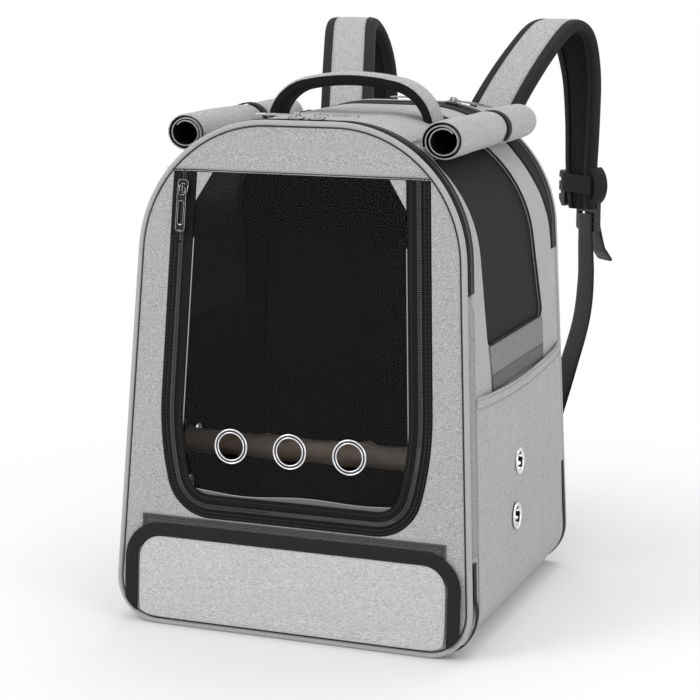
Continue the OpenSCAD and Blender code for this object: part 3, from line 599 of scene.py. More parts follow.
class Nodes:
    """Short way to wire a node tree; a value is a number, a colour or another node's socket."""

    def __init__(self, tree):
        self.tree = tree

    def feed(self, socket, value):
        if isinstance(value, bpy.types.NodeSocket):
            self.tree.links.new(value, socket)
        else:
            socket.default_value = value

    def add(self, kind, *inputs, **values):
        """A shader node: its first inputs in order, then settings or further inputs by name."""
        node = self.tree.nodes.new("ShaderNode" + kind)
        for key, value in values.items():
            if hasattr(node, key):
                setattr(node, key, value)
            else:
                self.feed(node.inputs[key.replace("_", " ")], value)
        for socket, value in zip(node.inputs, inputs):
            self.feed(socket, value)
        return node

    def calc(self, operation, *inputs, **values):
        return self.add("Math", *inputs, operation=operation, **values).outputs[0]

    def remap(self, value, low, high, to_low=0.0, to_high=1.0, **values):
        return self.add("MapRange", value, low, high, to_low, to_high, **values).outputs[0]

    def coords(self, kind="Object"):
        return self.add("TexCoord").outputs[kind]

    def stretched(self, at, scale):
        return self.add("Mapping", at, Scale=scale).outputs[0]

    def noise(self, at, scale, detail, rough=0.5):
        return self.add("TexNoise", at, Scale=scale, Detail=detail, Roughness=rough).outputs[0]

    def mix(self, share, a, b, **values):
        """Two colours mixed; three numbers stand for an opaque colour."""
        node = self.add("Mix", share, data_type="RGBA", **values)
        for index, value in ((6, a), (7, b)):
            plain = not isinstance(value, bpy.types.NodeSocket)
            self.feed(node.inputs[index], (*value, 1) if plain else value)
        return node.outputs[2]

    def relief(self, shader, height, distance, strength, **values):
        """Let a height show as bumps on a shader."""
        bumps = self.add("Bump", Distance=distance, Strength=strength, Height=height, **values)
        self.feed(shader.inputs["Normal"], bumps.outputs[0])


def new_material(name, **values):
    """A material, its wiring and its shader, some of whose inputs are given by name."""
    m = bpy.data.materials.new(name)
    m.use_nodes = True
    n, shader = Nodes(m.node_tree), m.node_tree.nodes["Principled BSDF"]
    for key, value in values.items():
        n.feed(shader.inputs[key.replace("_", " ")], value)
    return m, n, shader


def cloth_group():
    """Heather cloth: a plain weave of two yarn shades with slubs, as colour and height."""
    tree = bpy.data.node_groups.new("heather_cloth", "ShaderNodeTree")
    face = tree.interface
    for name, kind, value in (("Vector", "Vector", (0, 0, 0)), ("Light", "Color", (0.5, 0.5, 0.5, 1)),
                              ("Dark", "Color", (0.2, 0.2, 0.2, 1)), ("Yarn", "Float", 900.0),
                              ("Slub", "Float", 0.5), ("Soil", "Float", 0.06)):
        face.new_socket(name, in_out="INPUT", socket_type="NodeSocket" + kind).default_value = value
    face.new_socket("Color", in_out="OUTPUT", socket_type="NodeSocketColor")
    face.new_socket("Height", in_out="OUTPUT", socket_type="NodeSocketFloat")
    n = Nodes(tree)
    given, result = tree.nodes.new("NodeGroupInput").outputs, tree.nodes.new("NodeGroupOutput").inputs
    place = n.add("SeparateXYZ", given["Vector"]).outputs
    turns = [n.calc("MULTIPLY", place[axis], given["Yarn"]) for axis in range(3)]
    waves = [n.calc("SINE", n.calc("MULTIPLY", turn, 2 * math.pi)) for turn in turns]
    weave = n.calc("MULTIPLY_ADD", n.calc("ADD", waves[0], waves[1]), waves[2], 0.0)
    slubs = n.calc("ADD", n.noise(n.stretched(given["Vector"], (1.3, 1.3, 2.4)), 760.0, 2.0, 0.6),
                   n.noise(n.stretched(given["Vector"], (0.8, 0.8, 2.4)), 760.0, 1.0, 0.6))
    shade = n.calc("SUBTRACT", n.remap(slubs, 0.74, 1.26), 0.5)
    slubbed = n.calc("MULTIPLY_ADD", shade, given["Slub"], 0.5)
    soil = n.calc("SUBTRACT", n.noise(given["Vector"], 16.0, 3.0, 0.6), 0.5)
    share = n.calc("ADD", slubbed, n.calc("MULTIPLY", soil, given["Soil"]), use_clamp=True)
    n.feed(result["Color"], n.mix(share, given["Dark"], given["Light"]))
    n.feed(result["Height"], n.calc("MULTIPLY_ADD", slubs, 0.8, weave))
    return tree


def cloth(name, light, dark, yarn=900.0, slub=0.9, rough=0.85, bump=0.00022, sheen=0.1,
          stretch=(1, 1, 1), gloss=0.25):
    """Woven cloth that follows the object's own coordinates."""
    m, n, shader = new_material(name, Roughness=rough, Sheen_Weight=sheen, Sheen_Roughness=0.5,
                                Specular_IOR_Level=gloss)
    group = n.add("Group", node_tree=bpy.data.node_groups.get("heather_cloth") or cloth_group(),
                  Vector=n.stretched(n.coords(), stretch), Light=(*light, 1), Dark=(*dark, 1),
                  Yarn=yarn, Slub=slub, Soil=0.08)
    n.feed(shader.inputs["Base Color"], group.outputs["Color"])
    n.relief(shader, group.outputs["Height"], bump, 0.6)
    return m


def tape(name, colour, ribs, across, rough=0.6, depth=0.0002, gloss=0.15):
    """Ribbed tape: its ribs lie across an object axis, or across the piece's UV map."""
    m, n, shader = new_material(name, Roughness=rough, Specular_IOR_Level=gloss)
    place, axis = ("UV", "X") if across == "UV" else ("Object", across)
    wave = n.add("TexWave", n.coords(place), wave_type="BANDS", bands_direction=axis, Scale=ribs,
                 Distortion=0.4, Detail=1.0)
    height = n.calc("ADD", wave.outputs[1], n.noise(n.coords(), 900.0, 2.0))
    shade = n.remap(height, 0.0, 1.8, 0.55, 1.35)
    n.feed(shader.inputs["Base Color"], n.mix(1, colour, shade, blend_type="MULTIPLY"))
    n.relief(shader, height, depth, 0.7)
    return m


def hard(name, colour, rough, metal=0.0, speckle=0.15, edge_glint=None):
    """Moulded plastic or plated metal, with faint handling marks, and a painted highlight of a given colour
    along its edges.
    """
    m, n, shader = new_material(name, Metallic=metal)
    marks = n.noise(n.coords(), 600.0, 4.0, 0.7)
    n.feed(shader.inputs["Roughness"],
           n.remap(marks, 0.0, 1.0, max(0.02, rough - speckle / 2), rough + speckle / 2))
    tone = n.mix(marks, [c * 0.9 for c in colour], [min(1, c * 1.06) for c in colour])
    if edge_glint:
        # painted highlight: near edges the rounded normal turns from the true one, and there the colour
        # goes towards the bright one
        rounded = n.add("Bevel", 0.0008, samples=6).outputs[0]
        turn = n.add("VectorMath", rounded, n.add("NewGeometry").outputs["True Normal"],
                     operation="DOT_PRODUCT").outputs["Value"]
        tone = n.mix(n.remap(turn, 0.995, 0.90), tone, edge_glint)
    n.feed(shader.inputs["Base Color"], tone)
    return m


def net(name, colour, pitch=1.5, thread=0.5):
    """Open net: round holes in staggered rows, cut through by alpha."""
    m, n, shader = new_material(name, Base_Color=(*colour, 1), Roughness=0.7, Specular_IOR_Level=0.15)
    place = n.add("SeparateXYZ", n.coords("UV")).outputs
    waves = [n.calc("COSINE", n.calc("MULTIPLY", place[axis], 2 * math.pi / pitch)) for axis in (0, 1)]
    solid = n.remap(n.calc("MULTIPLY", *waves), thread - 0.12, thread + 0.12, 1.0, 0.0)
    n.feed(shader.inputs["Alpha"], solid)
    n.relief(shader, solid, 0.0003, 0.5)
    return m


def vinyl(name):
    """Clear flexible sheet."""
    m, n, shader = new_material(name, Base_Color=(0.93, 0.95, 0.95, 1), Transmission_Weight=1.0,
                                Roughness=0.03, IOR=1.16)
    n.relief(shader, n.noise(n.coords(), 9.0, 0.0), 0.001, 0.2)
    return m


def bark_finish(name, light, dark):
    """Rough dark bark with cracks along the branch."""
    m, n, shader = new_material(name, Roughness=0.45, Specular_IOR_Level=0.2)
    place = n.stretched(n.coords(), (0.35, 1, 1))
    grain = n.noise(place, 260.0, 6.0, 0.65)
    cracks = n.add("TexVoronoi", place, feature="DISTANCE_TO_EDGE", Scale=170.0).outputs[0]
    n.feed(shader.inputs["Base Color"], n.mix(grain, dark, light))
    n.relief(shader, n.calc("ADD", grain, cracks), 0.0012, 0.9)
    return m


def hook_finish(name, colour):
    """Hook tape: rows of short bristles."""
    m, n, shader = new_material(name, Roughness=0.7)
    dots = n.add("TexVoronoi", n.coords(), Scale=620.0).outputs[0]
    n.feed(shader.inputs["Base Color"], n.mix(dots, [c * 2.2 for c in colour], colour))
    n.relief(shader, dots, 0.0008, 0.8, invert=True)
    return m


def finish(name):
    """A finish by name, made when first asked for."""
    made = bpy.data.materials.get(name)
    if made:
        return made
    c = bpy.context.scene.carrier_colours

    def greys(light, dark):
        return [x * light for x in c.cloth_light], [x * dark for x in c.cloth_dark]

    def black(k):
        return [x * k for x in c.black]

    make, values, more = {
        "heather": (cloth, greys(1, 1), {}),
        "heather_light": (cloth, greys(1.24, 1.5), dict(stretch=(0.55, 1, 1.25))),
        "heather_dark": (cloth, greys(0.52, 0.46), {}),
        "heather_mid": (cloth, greys(0.74, 0.66), {}),
        "piping": (cloth, greys(0.95, 0.95), dict(slub=0.25, rough=0.45, bump=0.0001, sheen=0.2)),
        "thread": (cloth, ((0.42,) * 3, (0.3,) * 3), dict(slub=0.2)),
        "loop": (cloth, ((0.19,) * 3, (0.09,) * 3), dict(slub=1.0, sheen=0)),
        # dark thread for stitches, also used for the painted shade of seam creases
        "black_thread": (cloth, (black(7), black(4)), dict(sheen=0)),
        "lining_cloth": (cloth, (black(1.1), black(0.7)), dict(rough=0.8, slub=0.6, sheen=0, gloss=0.1)),
        "black_cloth": (cloth, (black(1.8), black(0.9)), dict(rough=0.8, sheen=0.02, gloss=0.15)),
        "air_mesh": (cloth, (black(2.0), black(0.6)),
                     dict(yarn=330.0, slub=0.3, bump=0.0006, sheen=0.02, gloss=0.15)),
        "tape": (tape, (black(0.95), 260.0, "Z"), dict(gloss=0.12)),
        "webbing": (tape, (black(1.9), 60.0, "UV"), dict(rough=0.4, depth=0.0001, gloss=0.28)),
        "binding": (tape, (black(2.2), 300.0, "X"), dict(rough=0.65)),
        "hook": (hook_finish, (black(6.5),), {}),
        "net": (net, (black(2.2),), {}),
        # the coil is a lighter grey than the tape: painted highlight standing in for the glints on its
        # turns
        "coil": (hard, (black(8), 0.35), {}),
        "moulded": (hard, (black(1.4), 0.4), {}),
        "tray": (hard, (c.tray, 0.4), {}),
        "fold": (hard, ((0.115, 0.115, 0.12), 0.35), {}),
        # light grey of the painted highlights along the clear sheet's edges
        "fold_edge": (hard, ((0.36, 0.36, 0.37), 0.3), {}),
        "plated": (hard, ((0.82, 0.82, 0.83), 0.14, 1.0, 0.08), {}),
        # dark and nickel plating get a painted highlight along their edges
        "dark_plated": (hard, ((0.035, 0.035, 0.037), 0.25, 1.0, 0.08), dict(edge_glint=(0.72, 0.72, 0.73))),
        "nickel": (hard, ((0.30, 0.30, 0.31), 0.2, 1.0, 0.08), dict(edge_glint=(0.85, 0.85, 0.85))),
        "vinyl": (vinyl, (), {}),
        "bark": (bark_finish, (c.bark, [x * 0.3 for x in c.bark]), {}),
    }[name]
    return make(name, *values, **more)


# ---------------------------------------------------------------- settings


class CarrierSizes(bpy.types.PropertyGroup):
    """Sizes of the soft detail that may be changed by hand."""

    puff: FloatProperty(name="Wall puff", description="How far a padded wall swells, in mm",
                        default=1.2, min=0, max=4)
    pucker: FloatProperty(name="Pucker", description="Depth of the ripples along seams, in mm",
                          default=0.9, min=0, max=3)
    pocket_sag: FloatProperty(name="Pocket sag", description="How far a pocket's mouth stands off, in mm",
                              default=3.2, min=0, max=8)
    coil_pitch: FloatProperty(name="Coil pitch", description="Spacing of the zip coil's turns, in mm",
                              default=1.55, min=1, max=4)
    stitch_pitch: FloatProperty(name="Stitch pitch", description="Spacing of the stitches, in mm",
                                default=3.4, min=2, max=6)
    swell_steps: IntProperty(name="Swell steps", description="Simulation steps for the back pads",
                             default=20, min=5, max=60)


class CarrierColours(bpy.types.PropertyGroup):
    """Colours of the cloth and plastics."""

    cloth_light: FloatVectorProperty(name="Cloth light", description="Lighter yarn of the grey cloth",
                                     subtype="COLOR", default=(0.62, 0.62, 0.62), min=0, max=1)
    cloth_dark: FloatVectorProperty(name="Cloth dark", description="Darker yarn of the grey cloth",
                                    subtype="COLOR", default=(0.26, 0.26, 0.26), min=0, max=1)
    black: FloatVectorProperty(name="Black", description="Black cloth, tape and plastic",
                               subtype="COLOR", default=(0.0075, 0.0075, 0.008), min=0, max=1)
    bark: FloatVectorProperty(name="Bark", description="Lighter tone of the perch's bark",
                              subtype="COLOR", default=(0.013, 0.0125, 0.0125), min=0, max=1)
    tray: FloatVectorProperty(name="Tray", description="Colour of the floor tray",
                              subtype="COLOR", default=(0.55, 0.55, 0.53), min=0, max=1)


# ---------------------------------------------------------------- pieces


class CARRIER_OT_shell(bpy.types.Operator):
    """Front, back, top, base and lining of the sewn body"""

    bl_idname = "carrier.shell"
    bl_label = "Body shell"

    def execute(self, context):
        sizes = context.scene.carrier_sizes
        top = [(112 - 16 * i, WINDOW_TOP + 0.3) for i in range(1, 14)]
        window = u_line(-0.3) + [(x, v) for x, v in reversed(top)]
        corners = [(-127, 7.2), (127, 7.2), (127, 37), (-127, 37)]
        mouth = [p[:] for p, _ in resample(corners, 9, closed=True)]

        def lay(x, v):
            rim = min(1.0, max(0.0, (abs(x) - 100) / 30)) if v < WINDOW_TOP else 1.0
            at = on_front(x, v, -1.0)
            return on_front(x, v, -1.0 + 0.25 * rim * ripple(at, 60) + 0.12 * ripple(at, 18))

        front = holed_sheet(arch_outline(5.4, FRONT_HEIGHT, 6.0), [window, mouth], 6.0, lay)
        outward(front, lambda c: Vector((0, -1, 0)))
        piece(front, "front_cloth", "heather", replaces="front_panel", thick=2.9, bevel=0.8)

        top_s = s_at_seam()
        bm = grid(48, 40, lambda u, w: skin_patch(
            (u * 2 - 1) * (top_s - 0.4), w, 5.8, BACK_Y - 5.6, SKIN_IN,
            sizes.puff * 0.5 * edge_rise(u, 0.05) * edge_rise(w, 0.06)))
        piece(bm, "top_cloth", "heather", replaces="top_panel", thick=3.0, bevel=0.7)

        back = flat_slab([arch_outline(5.4)], -4.0, -1.0, on_back)
        piece(back, "back_cloth", "black_cloth", replaces="back_panel", bevel=0.8)

        base = flat_slab(
            [[(-LOWER_X, front_y(0, 5.4)), (LOWER_X, front_y(0, 5.4)),
              (LOWER_X, BACK_Y - 5.4), (-LOWER_X, BACK_Y - 5.4)]],
            0.0, 3.0, lambda x, y, h: Vector((x, y, h)) * MM)
        piece(base, "base_cloth", "black_cloth", replaces="base_panel", bevel=0.6)
        dress("moulded", "base_board")

        half = TO_FOOT + LOWER_X - 0.2
        rim = [(front_y(arch(half * k / 60, 6)[0].y, 4.4), half * k / 60) for k in range(-60, 61)]
        outer = rim + [(BACK_Y - 4.4, half * k / 60) for k in range(60, -61, -1)]
        holes = []
        for side in (1, -1):
            holes.append([(y, side * t) for y, t in mesh_opening(10)])
            holes += [circle(y, side * s_at_height(z), 9) for y, z in SIDE_HOLES]
        bm = holed_sheet(outer, holes, 9.0, lambda y, t: on_skin(t, y, 6.0))
        outward(bm, lambda c: Vector((c.x, 0, c.z - 0.2)))
        piece(bm, "lining_cloth_sheet", "lining_cloth", replaces="lining", thick=0.9)
        return {"FINISHED"}


def s_at_seam():
    """The top panel's half width along the arch."""
    return CROWN_HALF + SHOULDER_R * math.asin(0.51)


def skin_patch(s, w, depth, rear, inset, rise):
    """A point of a gusset sheet: w runs from the front depth to the rear Y."""
    y0 = front_y(arch(s, inset)[0].y, depth)
    at, n = skin_frame(s, y0 + (rear - y0) * w, inset)
    return at + n * (rise + 0.25 * rise * ripple(at, 55)) * MM


SIDE_HOLES = ((-4, 134), (-18, 89))


def mesh_opening(r, per_side=14):
    """Outline of a mesh window's opening as (y, s) pairs."""
    high, low = s_at_height(402), s_at_height(245)
    corners = [(-92, high), (49, high), (96, low), (-70, low)]
    return [(p.x, p.y) for p in quad_outline(corners, r, per_side)]


def quad_outline(corners, r, per_side=14):
    """Four-cornered outline with round corners and points spread along its sides."""
    pts = []
    n = len(corners)
    c = [Vector(p) for p in corners]
    for i in range(n):
        a, b, d = c[i - 1], c[i], c[(i + 1) % n]
        u, v = (a - b).normalized(), (d - b).normalized()
        half = u.angle(v) / 2
        cut = r / math.tan(half)
        start, end = b + u * cut, b + v * cut
        centre = b + (u + v).normalized() * (r / math.sin(half))
        for k in range(5):
            t = k / 4
            q = start.lerp(end, t)
            pts.append(centre + (q - centre).normalized() * r)
        after_u = (b - d).normalized()
        half_d = after_u.angle((c[(i + 2) % n] - d).normalized()) / 2
        next_start = d + after_u * (r / math.tan(half_d))
        for k in range(1, per_side):
            pts.append(end.lerp(next_start, k / per_side))
    return pts


class CARRIER_OT_sides(bpy.types.Operator):
    """Side walls with their mesh windows, pockets, closing strips and corner strips"""

    bl_idname = "carrier.sides"
    bl_label = "Sides"

    def execute(self, context):
        for side, word in ((1, "right"), (-1, "left")):
            self.wall(context, side, word)
            self.window(side, word)
            self.pocket(context, side, word)
        self.corner_strips()
        return {"FINISHED"}

    def wall(self, context, side, word):
        puff = context.scene.carrier_sizes.puff
        top, low = s_at_seam() + 0.4, TO_FOOT - 0.2
        rear, opening = BACK_Y - 5.6, mesh_opening(7)
        steps = [top + (low - top) * k / 56 for k in range(57)]
        front = [(front_y(arch(t)[0].y, 5.8), t) for t in steps]
        count = 30
        bottom = [(front[-1][0] + (rear - front[-1][0]) * k / count, low) for k in range(1, count)]
        crown = [(rear + (front[0][0] - rear) * k / count, top) for k in range(1, count)]
        outer = front + bottom + [(rear, t) for t in reversed(steps)] + crown

        def lay(y, t):
            at, n = skin_frame(t, y, SKIN_IN, side)
            y0 = front_y(arch(t, SKIN_IN)[0].y, 5.8)
            edge = min(y - y0, rear - y, t - top, low - t, distance_to(y, t, opening))
            rough = 0.35 * ripple(at, 45, side) + 0.12 * ripple(at, 14, side)
            lift = puff * 0.55 * smooth_step(edge / 9) + rough * smooth_step(edge / 6)
            return at + n * lift * (0.35 + 0.65 * smooth_step((y - y0 - 17) / 8)) * MM

        holes = [opening] + [circle(y, s_at_height(z), 9) for y, z in SIDE_HOLES]
        bm = holed_sheet(outer, holes, 5.0, lay)
        outward(bm, lambda c: Vector((side, 0, 0.3)))
        piece(bm, f"side_cloth_{word}", "heather", replaces=f"side_panel_{word}", thick=3.0, bevel=0.8)

    def window(self, side, word):
        s0, s1 = s_at_height(408), s_at_height(239)

        def put(u, w):
            s = s0 + (s1 - s0) * w
            k = (arch(s)[0].y - 245) / (402 - 245)
            y_front = -70 + (-92 + 70) * k - 7
            y_back = 96 + (49 - 96) * k + 7
            return side_point(side, s, y_front + (y_back - y_front) * u, 5.2)

        bm = grid(20, 24, put)
        uv = bm.loops.layers.uv.active
        for f in bm.faces:
            for loop in f.loops:
                loop[uv].uv = (loop.vert.co.y / MM, s_at_height(loop.vert.co.z / MM))
        obj = piece(bm, f"mesh_{word}", "net", replaces=f"mesh_window_{word}")
        thicken(obj, 0.45)
        hem = [side_point(side, p.y, p.x, 2.6) for p, _ in resample(mesh_opening(7), 4.0, closed=True)]
        piece(tube(hem, 0.9, closed=True, sides=8), f"mesh_edge_{word}", "binding")

    def pocket(self, context, side, word):
        sizes = context.scene.carrier_sizes
        s_low = TO_LOWER + ARC_LOWER * 0.82
        rear = BACK_Y - 6.0

        def mouth(u):
            sag = 5.0 * math.sin(math.pi * min(1, u / 0.93)) ** 1.2
            return s_at_height(210.5 - sag + 2.5 * smooth_step((u - 0.85) / 0.15))

        rim = [mouth(i / 60) for i in range(61)]

        def put(u, w):
            s = s_low + (mouth(u) - s_low) * w
            y0 = front_y(arch(s, 1.0)[0].y, 23.2)
            at, n = skin_frame(s, y0 + (rear - y0) * u, 1.0, side)
            within = edge_rise(u, 0.09)
            open_up = smooth_step((w - 0.35) / 0.65)
            puckers = sizes.pucker * (0.75 * math.sin(u * 61 + 2 * math.sin(u * 17)) * (0.35 + 0.65 * w)
                                      + 1.5 * ripple(at, 34, 3 * side)) * within
            out = 0.2 + sizes.pocket_sag * within * open_up + puckers * edge_rise(w, 0.08)
            out += 0.9 * within * math.sin(math.pi * w)
            return at + n * max(out, 0.1) * MM

        wide, tall = 250.0, 210.0
        outer = ([(wide * k / 60, 0) for k in range(60)] + [(wide, tall * k / 50) for k in range(50)]
                 + [(wide * k / 60, tall) for k in range(60, 0, -1)]
                 + [(0, tall * k / 50) for k in range(50, 0, -1)])
        holes = []
        for y, z in SIDE_HOLES:
            loop = []
            for a, t in circle(y, s_at_height(z), 9):
                y0 = front_y(arch(t)[0].y, 23.2)
                u = (a - y0) / (rear - y0)
                loop.append((u * wide, tall * (s_low - t) / (s_low - mouth(u))))
            holes.append(loop)

        bm = holed_sheet(outer, holes, 3.4, lambda a, b: put(a / wide, b / tall))
        outward(bm, lambda c: Vector((side, 0, 0)))
        piece(bm, f"pocket_cloth_{word}", "heather", replaces=f"side_pocket_{word}", thick=0.85)

        def hem(u, w):
            out = skin_frame(rim[round(u * 60)], 0, 0, side)[1] * 0.55 * MM
            return put(u, 1.0).lerp(put(u, 0.955), w) + out * (1 if 0 < w < 1 else 0.7)

        bm = grid(60, 3, hem)
        piece(bm, f"pocket_hem_{word}", "heather", thick=0.6, offset=0, levels=1)
        run = []
        for i in range(1, 60):
            for w in (0.958, 0.99):
                normal = skin_frame(rim[i], 0, 0, side)[1]
                along = (put((i + 1) / 60, w) - put((i - 1) / 60, w)).normalized()
                run.append((put(i / 60, w) + normal * 1.05 * MM, along, normal))
        piece(stitches(run, length=2.6), f"pocket_stitches_{word}", "thread")

        # the darker band under the mesh, whose dark grey is partly painted shade of the recess behind the
        # pocket's mouth, and on it the strip that holds the flap when it is let down
        a, b = s_at_height(245), s_at_height(207)
        bm = grid(34, 8, lambda u, w: side_point(
            side, a + (b - a) * w, -70 + 5 * w + (160 - 6 * w) * u, 1.15 - 0.25 * math.sin(math.pi * w)))
        piece(bm, f"band_cloth_{word}", "heather_dark", thick=0.6)
        a, b = s_at_height(221), s_at_height(207)
        bm = grid(30, 3, lambda u, w: side_point(side, a + (b - a) * w, -66.5 + 154 * u, 0.5))
        piece(bm, f"flap_closing_strip_{word}", "loop", thick=0.6)

    def corner_strips(self):
        parts = []
        for side in (1, -1):
            low = TO_FOOT + 9
            for top, depth in ((s_at_height(80), 5.6), (s_at_height(100), None)):
                def put(u, w):
                    s = low + (top - low) * u
                    if depth is None:
                        y = BACK_Y - 5.3 - 8.5 * w
                        inset = 0.15
                    else:
                        y = front_y(arch(s)[0].y, depth + 8 * w)
                        round_part = (s - TO_LOWER + 12) / 14
                        under = (s - TO_LOWER - ARC_LOWER * 0.45) / 16
                        inset = 0.5 - 1.7 * smooth_step(round_part) * smooth_step(1 - under)
                    return side_point(side, s, y, inset - 0.3 * math.sin(math.pi * w))
                parts.append(grid(36, 4, put))
        piece(merge(*parts), "corner_strips", "binding", replaces="corner_guards", thick=0.8,
              bevel=0.25)


class CARRIER_OT_piping(bpy.types.Operator):
    """Corded piping round the front and the back, with a thin dark cord along the front cord's foot as
    painted shade of the crease there
    """

    bl_idname = "carrier.piping"
    bl_label = "Piping"

    def execute(self, context):
        for word, place, height in (("front", on_front, FRONT_HEIGHT), ("back", on_back, BODY_H)):
            piece(cord_on(place, arch_outline(2.5, height, 5.0), -2.5, 2.45, True, 16), f"{word}_cord",
                  "piping", replaces=f"{word}_piping")
        # painted shade: a thin dark cord along the crease where the front piping meets the panel
        piece(cord_on(on_front, arch_outline(5.3, FRONT_HEIGHT, 5.0), -1.0, 0.55, True), "piping_crease_shade",
              "black_thread")
        return {"FINISHED"}


class CARRIER_OT_zips(bpy.types.Operator):
    """Tapes and coils of the two body zips and of the window zip, with sliders and pulls"""

    bl_idname = "carrier.zips"
    bl_label = "Zips"

    def execute(self, context):
        pitch = context.scene.carrier_sizes.coil_pitch
        s_end, width = s_at_height(295), ZIP_REAR - ZIP_FRONT
        self.body_tape("front", s_end, lambda z, w: front_y(z, ZIP_FRONT + width * w))
        self.seam_band(s_end)
        self.body_coil("front", s_end, lambda z: front_y(z, (ZIP_FRONT + ZIP_REAR) / 2), pitch)
        s_end = s_at_height(300)
        self.body_tape("back", s_end, lambda z, w: BACK_Y - 5.2
                       - (16 + 27 * smooth_step((z - 300) / 95)) * (1 - w))
        self.body_coil("back", s_end, lambda z: BACK_Y - 16.0, pitch)
        self.window_zip(pitch)
        for part in ("slider", "pull"):
            dress("dark_plated", f"window_{part}", edges=0.3)
            dress("nickel", *(f"{zip_end}_{part}_{side}" for zip_end in ("front", "back")
                              for side in ("left", "right")), edges=0.3)
        return {"FINISHED"}

    @staticmethod
    def body_tape(word, s_end, tape_y):
        """A tape over the arch; how far back it lies is a function of height and of the way across."""
        def lay(u, w):
            s = (u * 2 - 1) * s_end
            return on_skin(s, tape_y(arch(s, 0.8)[0].y, w), 0.8)

        piece(grid(120, 6, lay), f"{word}_zip_cloth", "tape", replaces=f"{word}_zip_tape", thick=0.9)

    @staticmethod
    def body_coil(word, s_end, coil_y, pitch):
        """A coil over the arch; how far back it lies is a function of height."""
        run, count = [], int(2 * s_end / pitch)
        for i in range(count):
            s = -s_end + 2 * s_end * (i + 0.5) / count
            a, b, (p, n) = arch(s - 0.5, 0.45)[0], arch(s + 0.5, 0.45)[0], arch(s, 0.45)
            step = Vector((b.x - a.x, coil_y(b.y) - coil_y(a.y), b.y - a.y)).normalized()
            normal = Vector((n.x, 0, n.y))
            run.append((Vector((p.x, coil_y(p.y), p.y)) * MM, step,
                        (normal - step * normal.dot(step)).normalized()))
        piece(merge(coil(run, 2.1, 0.42, 0.3, -1.1), coil(run, 2.1, 0.42, -0.3, 1.1)),
              f"{word}_zip_coil", "coil", replaces=f"{word}_zip_teeth")

    @staticmethod
    def seam_band(s_end):
        """The seam allowance that goes on below each end of the front zip."""
        length, parts = s_at_height(84) - s_end, []
        for side in (1, -1):
            def lay(u, w):
                s = s_end + 0.6 + length * u
                # sunk for its first 10 mm, where the pull lies at the end of its travel
                sunk = 0.95 * (1 - smooth_step((s - s_end - 10) / 8))
                # the left band is laid the other way across, so that both face out
                w = w if side > 0 else 1 - w
                y = front_y(arch(s)[0].y, ZIP_FRONT + 0.4 + (ZIP_REAR - ZIP_FRONT - 0.8) * w)
                return side_point(side, s, y, 0.95 + sunk - 0.15 * math.sin(math.pi * w))
            parts.append(grid(60, 4, lay))
        piece(merge(*parts), "seam_band", "heather_mid", thick=0.8)

    @staticmethod
    def window_zip(pitch):
        park = 328.0    # the slider is parked above this height, where the left leg stays on the front
        low, high, clear = -2.2, -1.1, 0.4
        outer, inner = 11.6, 20.0
        frame_band = u_line(0.1) + u_line(8.4)[::-1]
        leg = [leg_point(outer, WINDOW_TOP), leg_point(inner, WINDOW_TOP), leg_point(inner, park),
               leg_point(outer, park)]
        piece(merge(*(flat_slab([shape], low, high, on_front) for shape in (frame_band, leg))),
              "window_frame_cloth", "tape", replaces="window_frame_tape", bevel=0.3)
        cut = park - clear
        door = (open_u(outer, cut) + [leg_point(outer, cut), leg_point(inner, cut)]
                + open_u(inner, cut)[::-1])
        piece(flat_slab([door], low, high, on_front), "window_door_cloth", "tape", "window_door",
              replaces="window_door_tape", bevel=0.3)
        run = plane_run(u_line(10.0), on_front, -0.95, pitch)
        placed = [(p, r) for (p, _), r in zip(resample(u_line(10.0), pitch), run)]
        moving = [r for p, r in placed if not (p.x < 0 and p.y > park - 0.5)]
        parked = [r for p, r in placed if p.x < 0 and p.y > park + 0.8]
        piece(merge(coil(run, 1.75, 0.5, 0.3, -1.05), coil(parked, 1.75, 0.5, -0.3, 1.05)),
              "window_frame_coil", "coil", replaces="window_frame_teeth")
        piece(coil(moving, 1.75, 0.5, -0.3, 1.05), "window_door_coil", "coil", "window_door",
              replaces="window_door_teeth")
        # ridges where the tapes' edges are folded over
        piece(merge(cord_on(on_front, u_line(7.4), high, 0.5),
                    cord_on(on_front, u_line(0.9), high, 0.45)),
              "window_tape_ridges", "tape")
        ridge = open_u(12.6, park - 0.5) + [leg_point(12.6, park - 0.6)]
        piece(cord_on(on_front, ridge, high, 0.5), "window_door_ridge", "tape", "window_door")


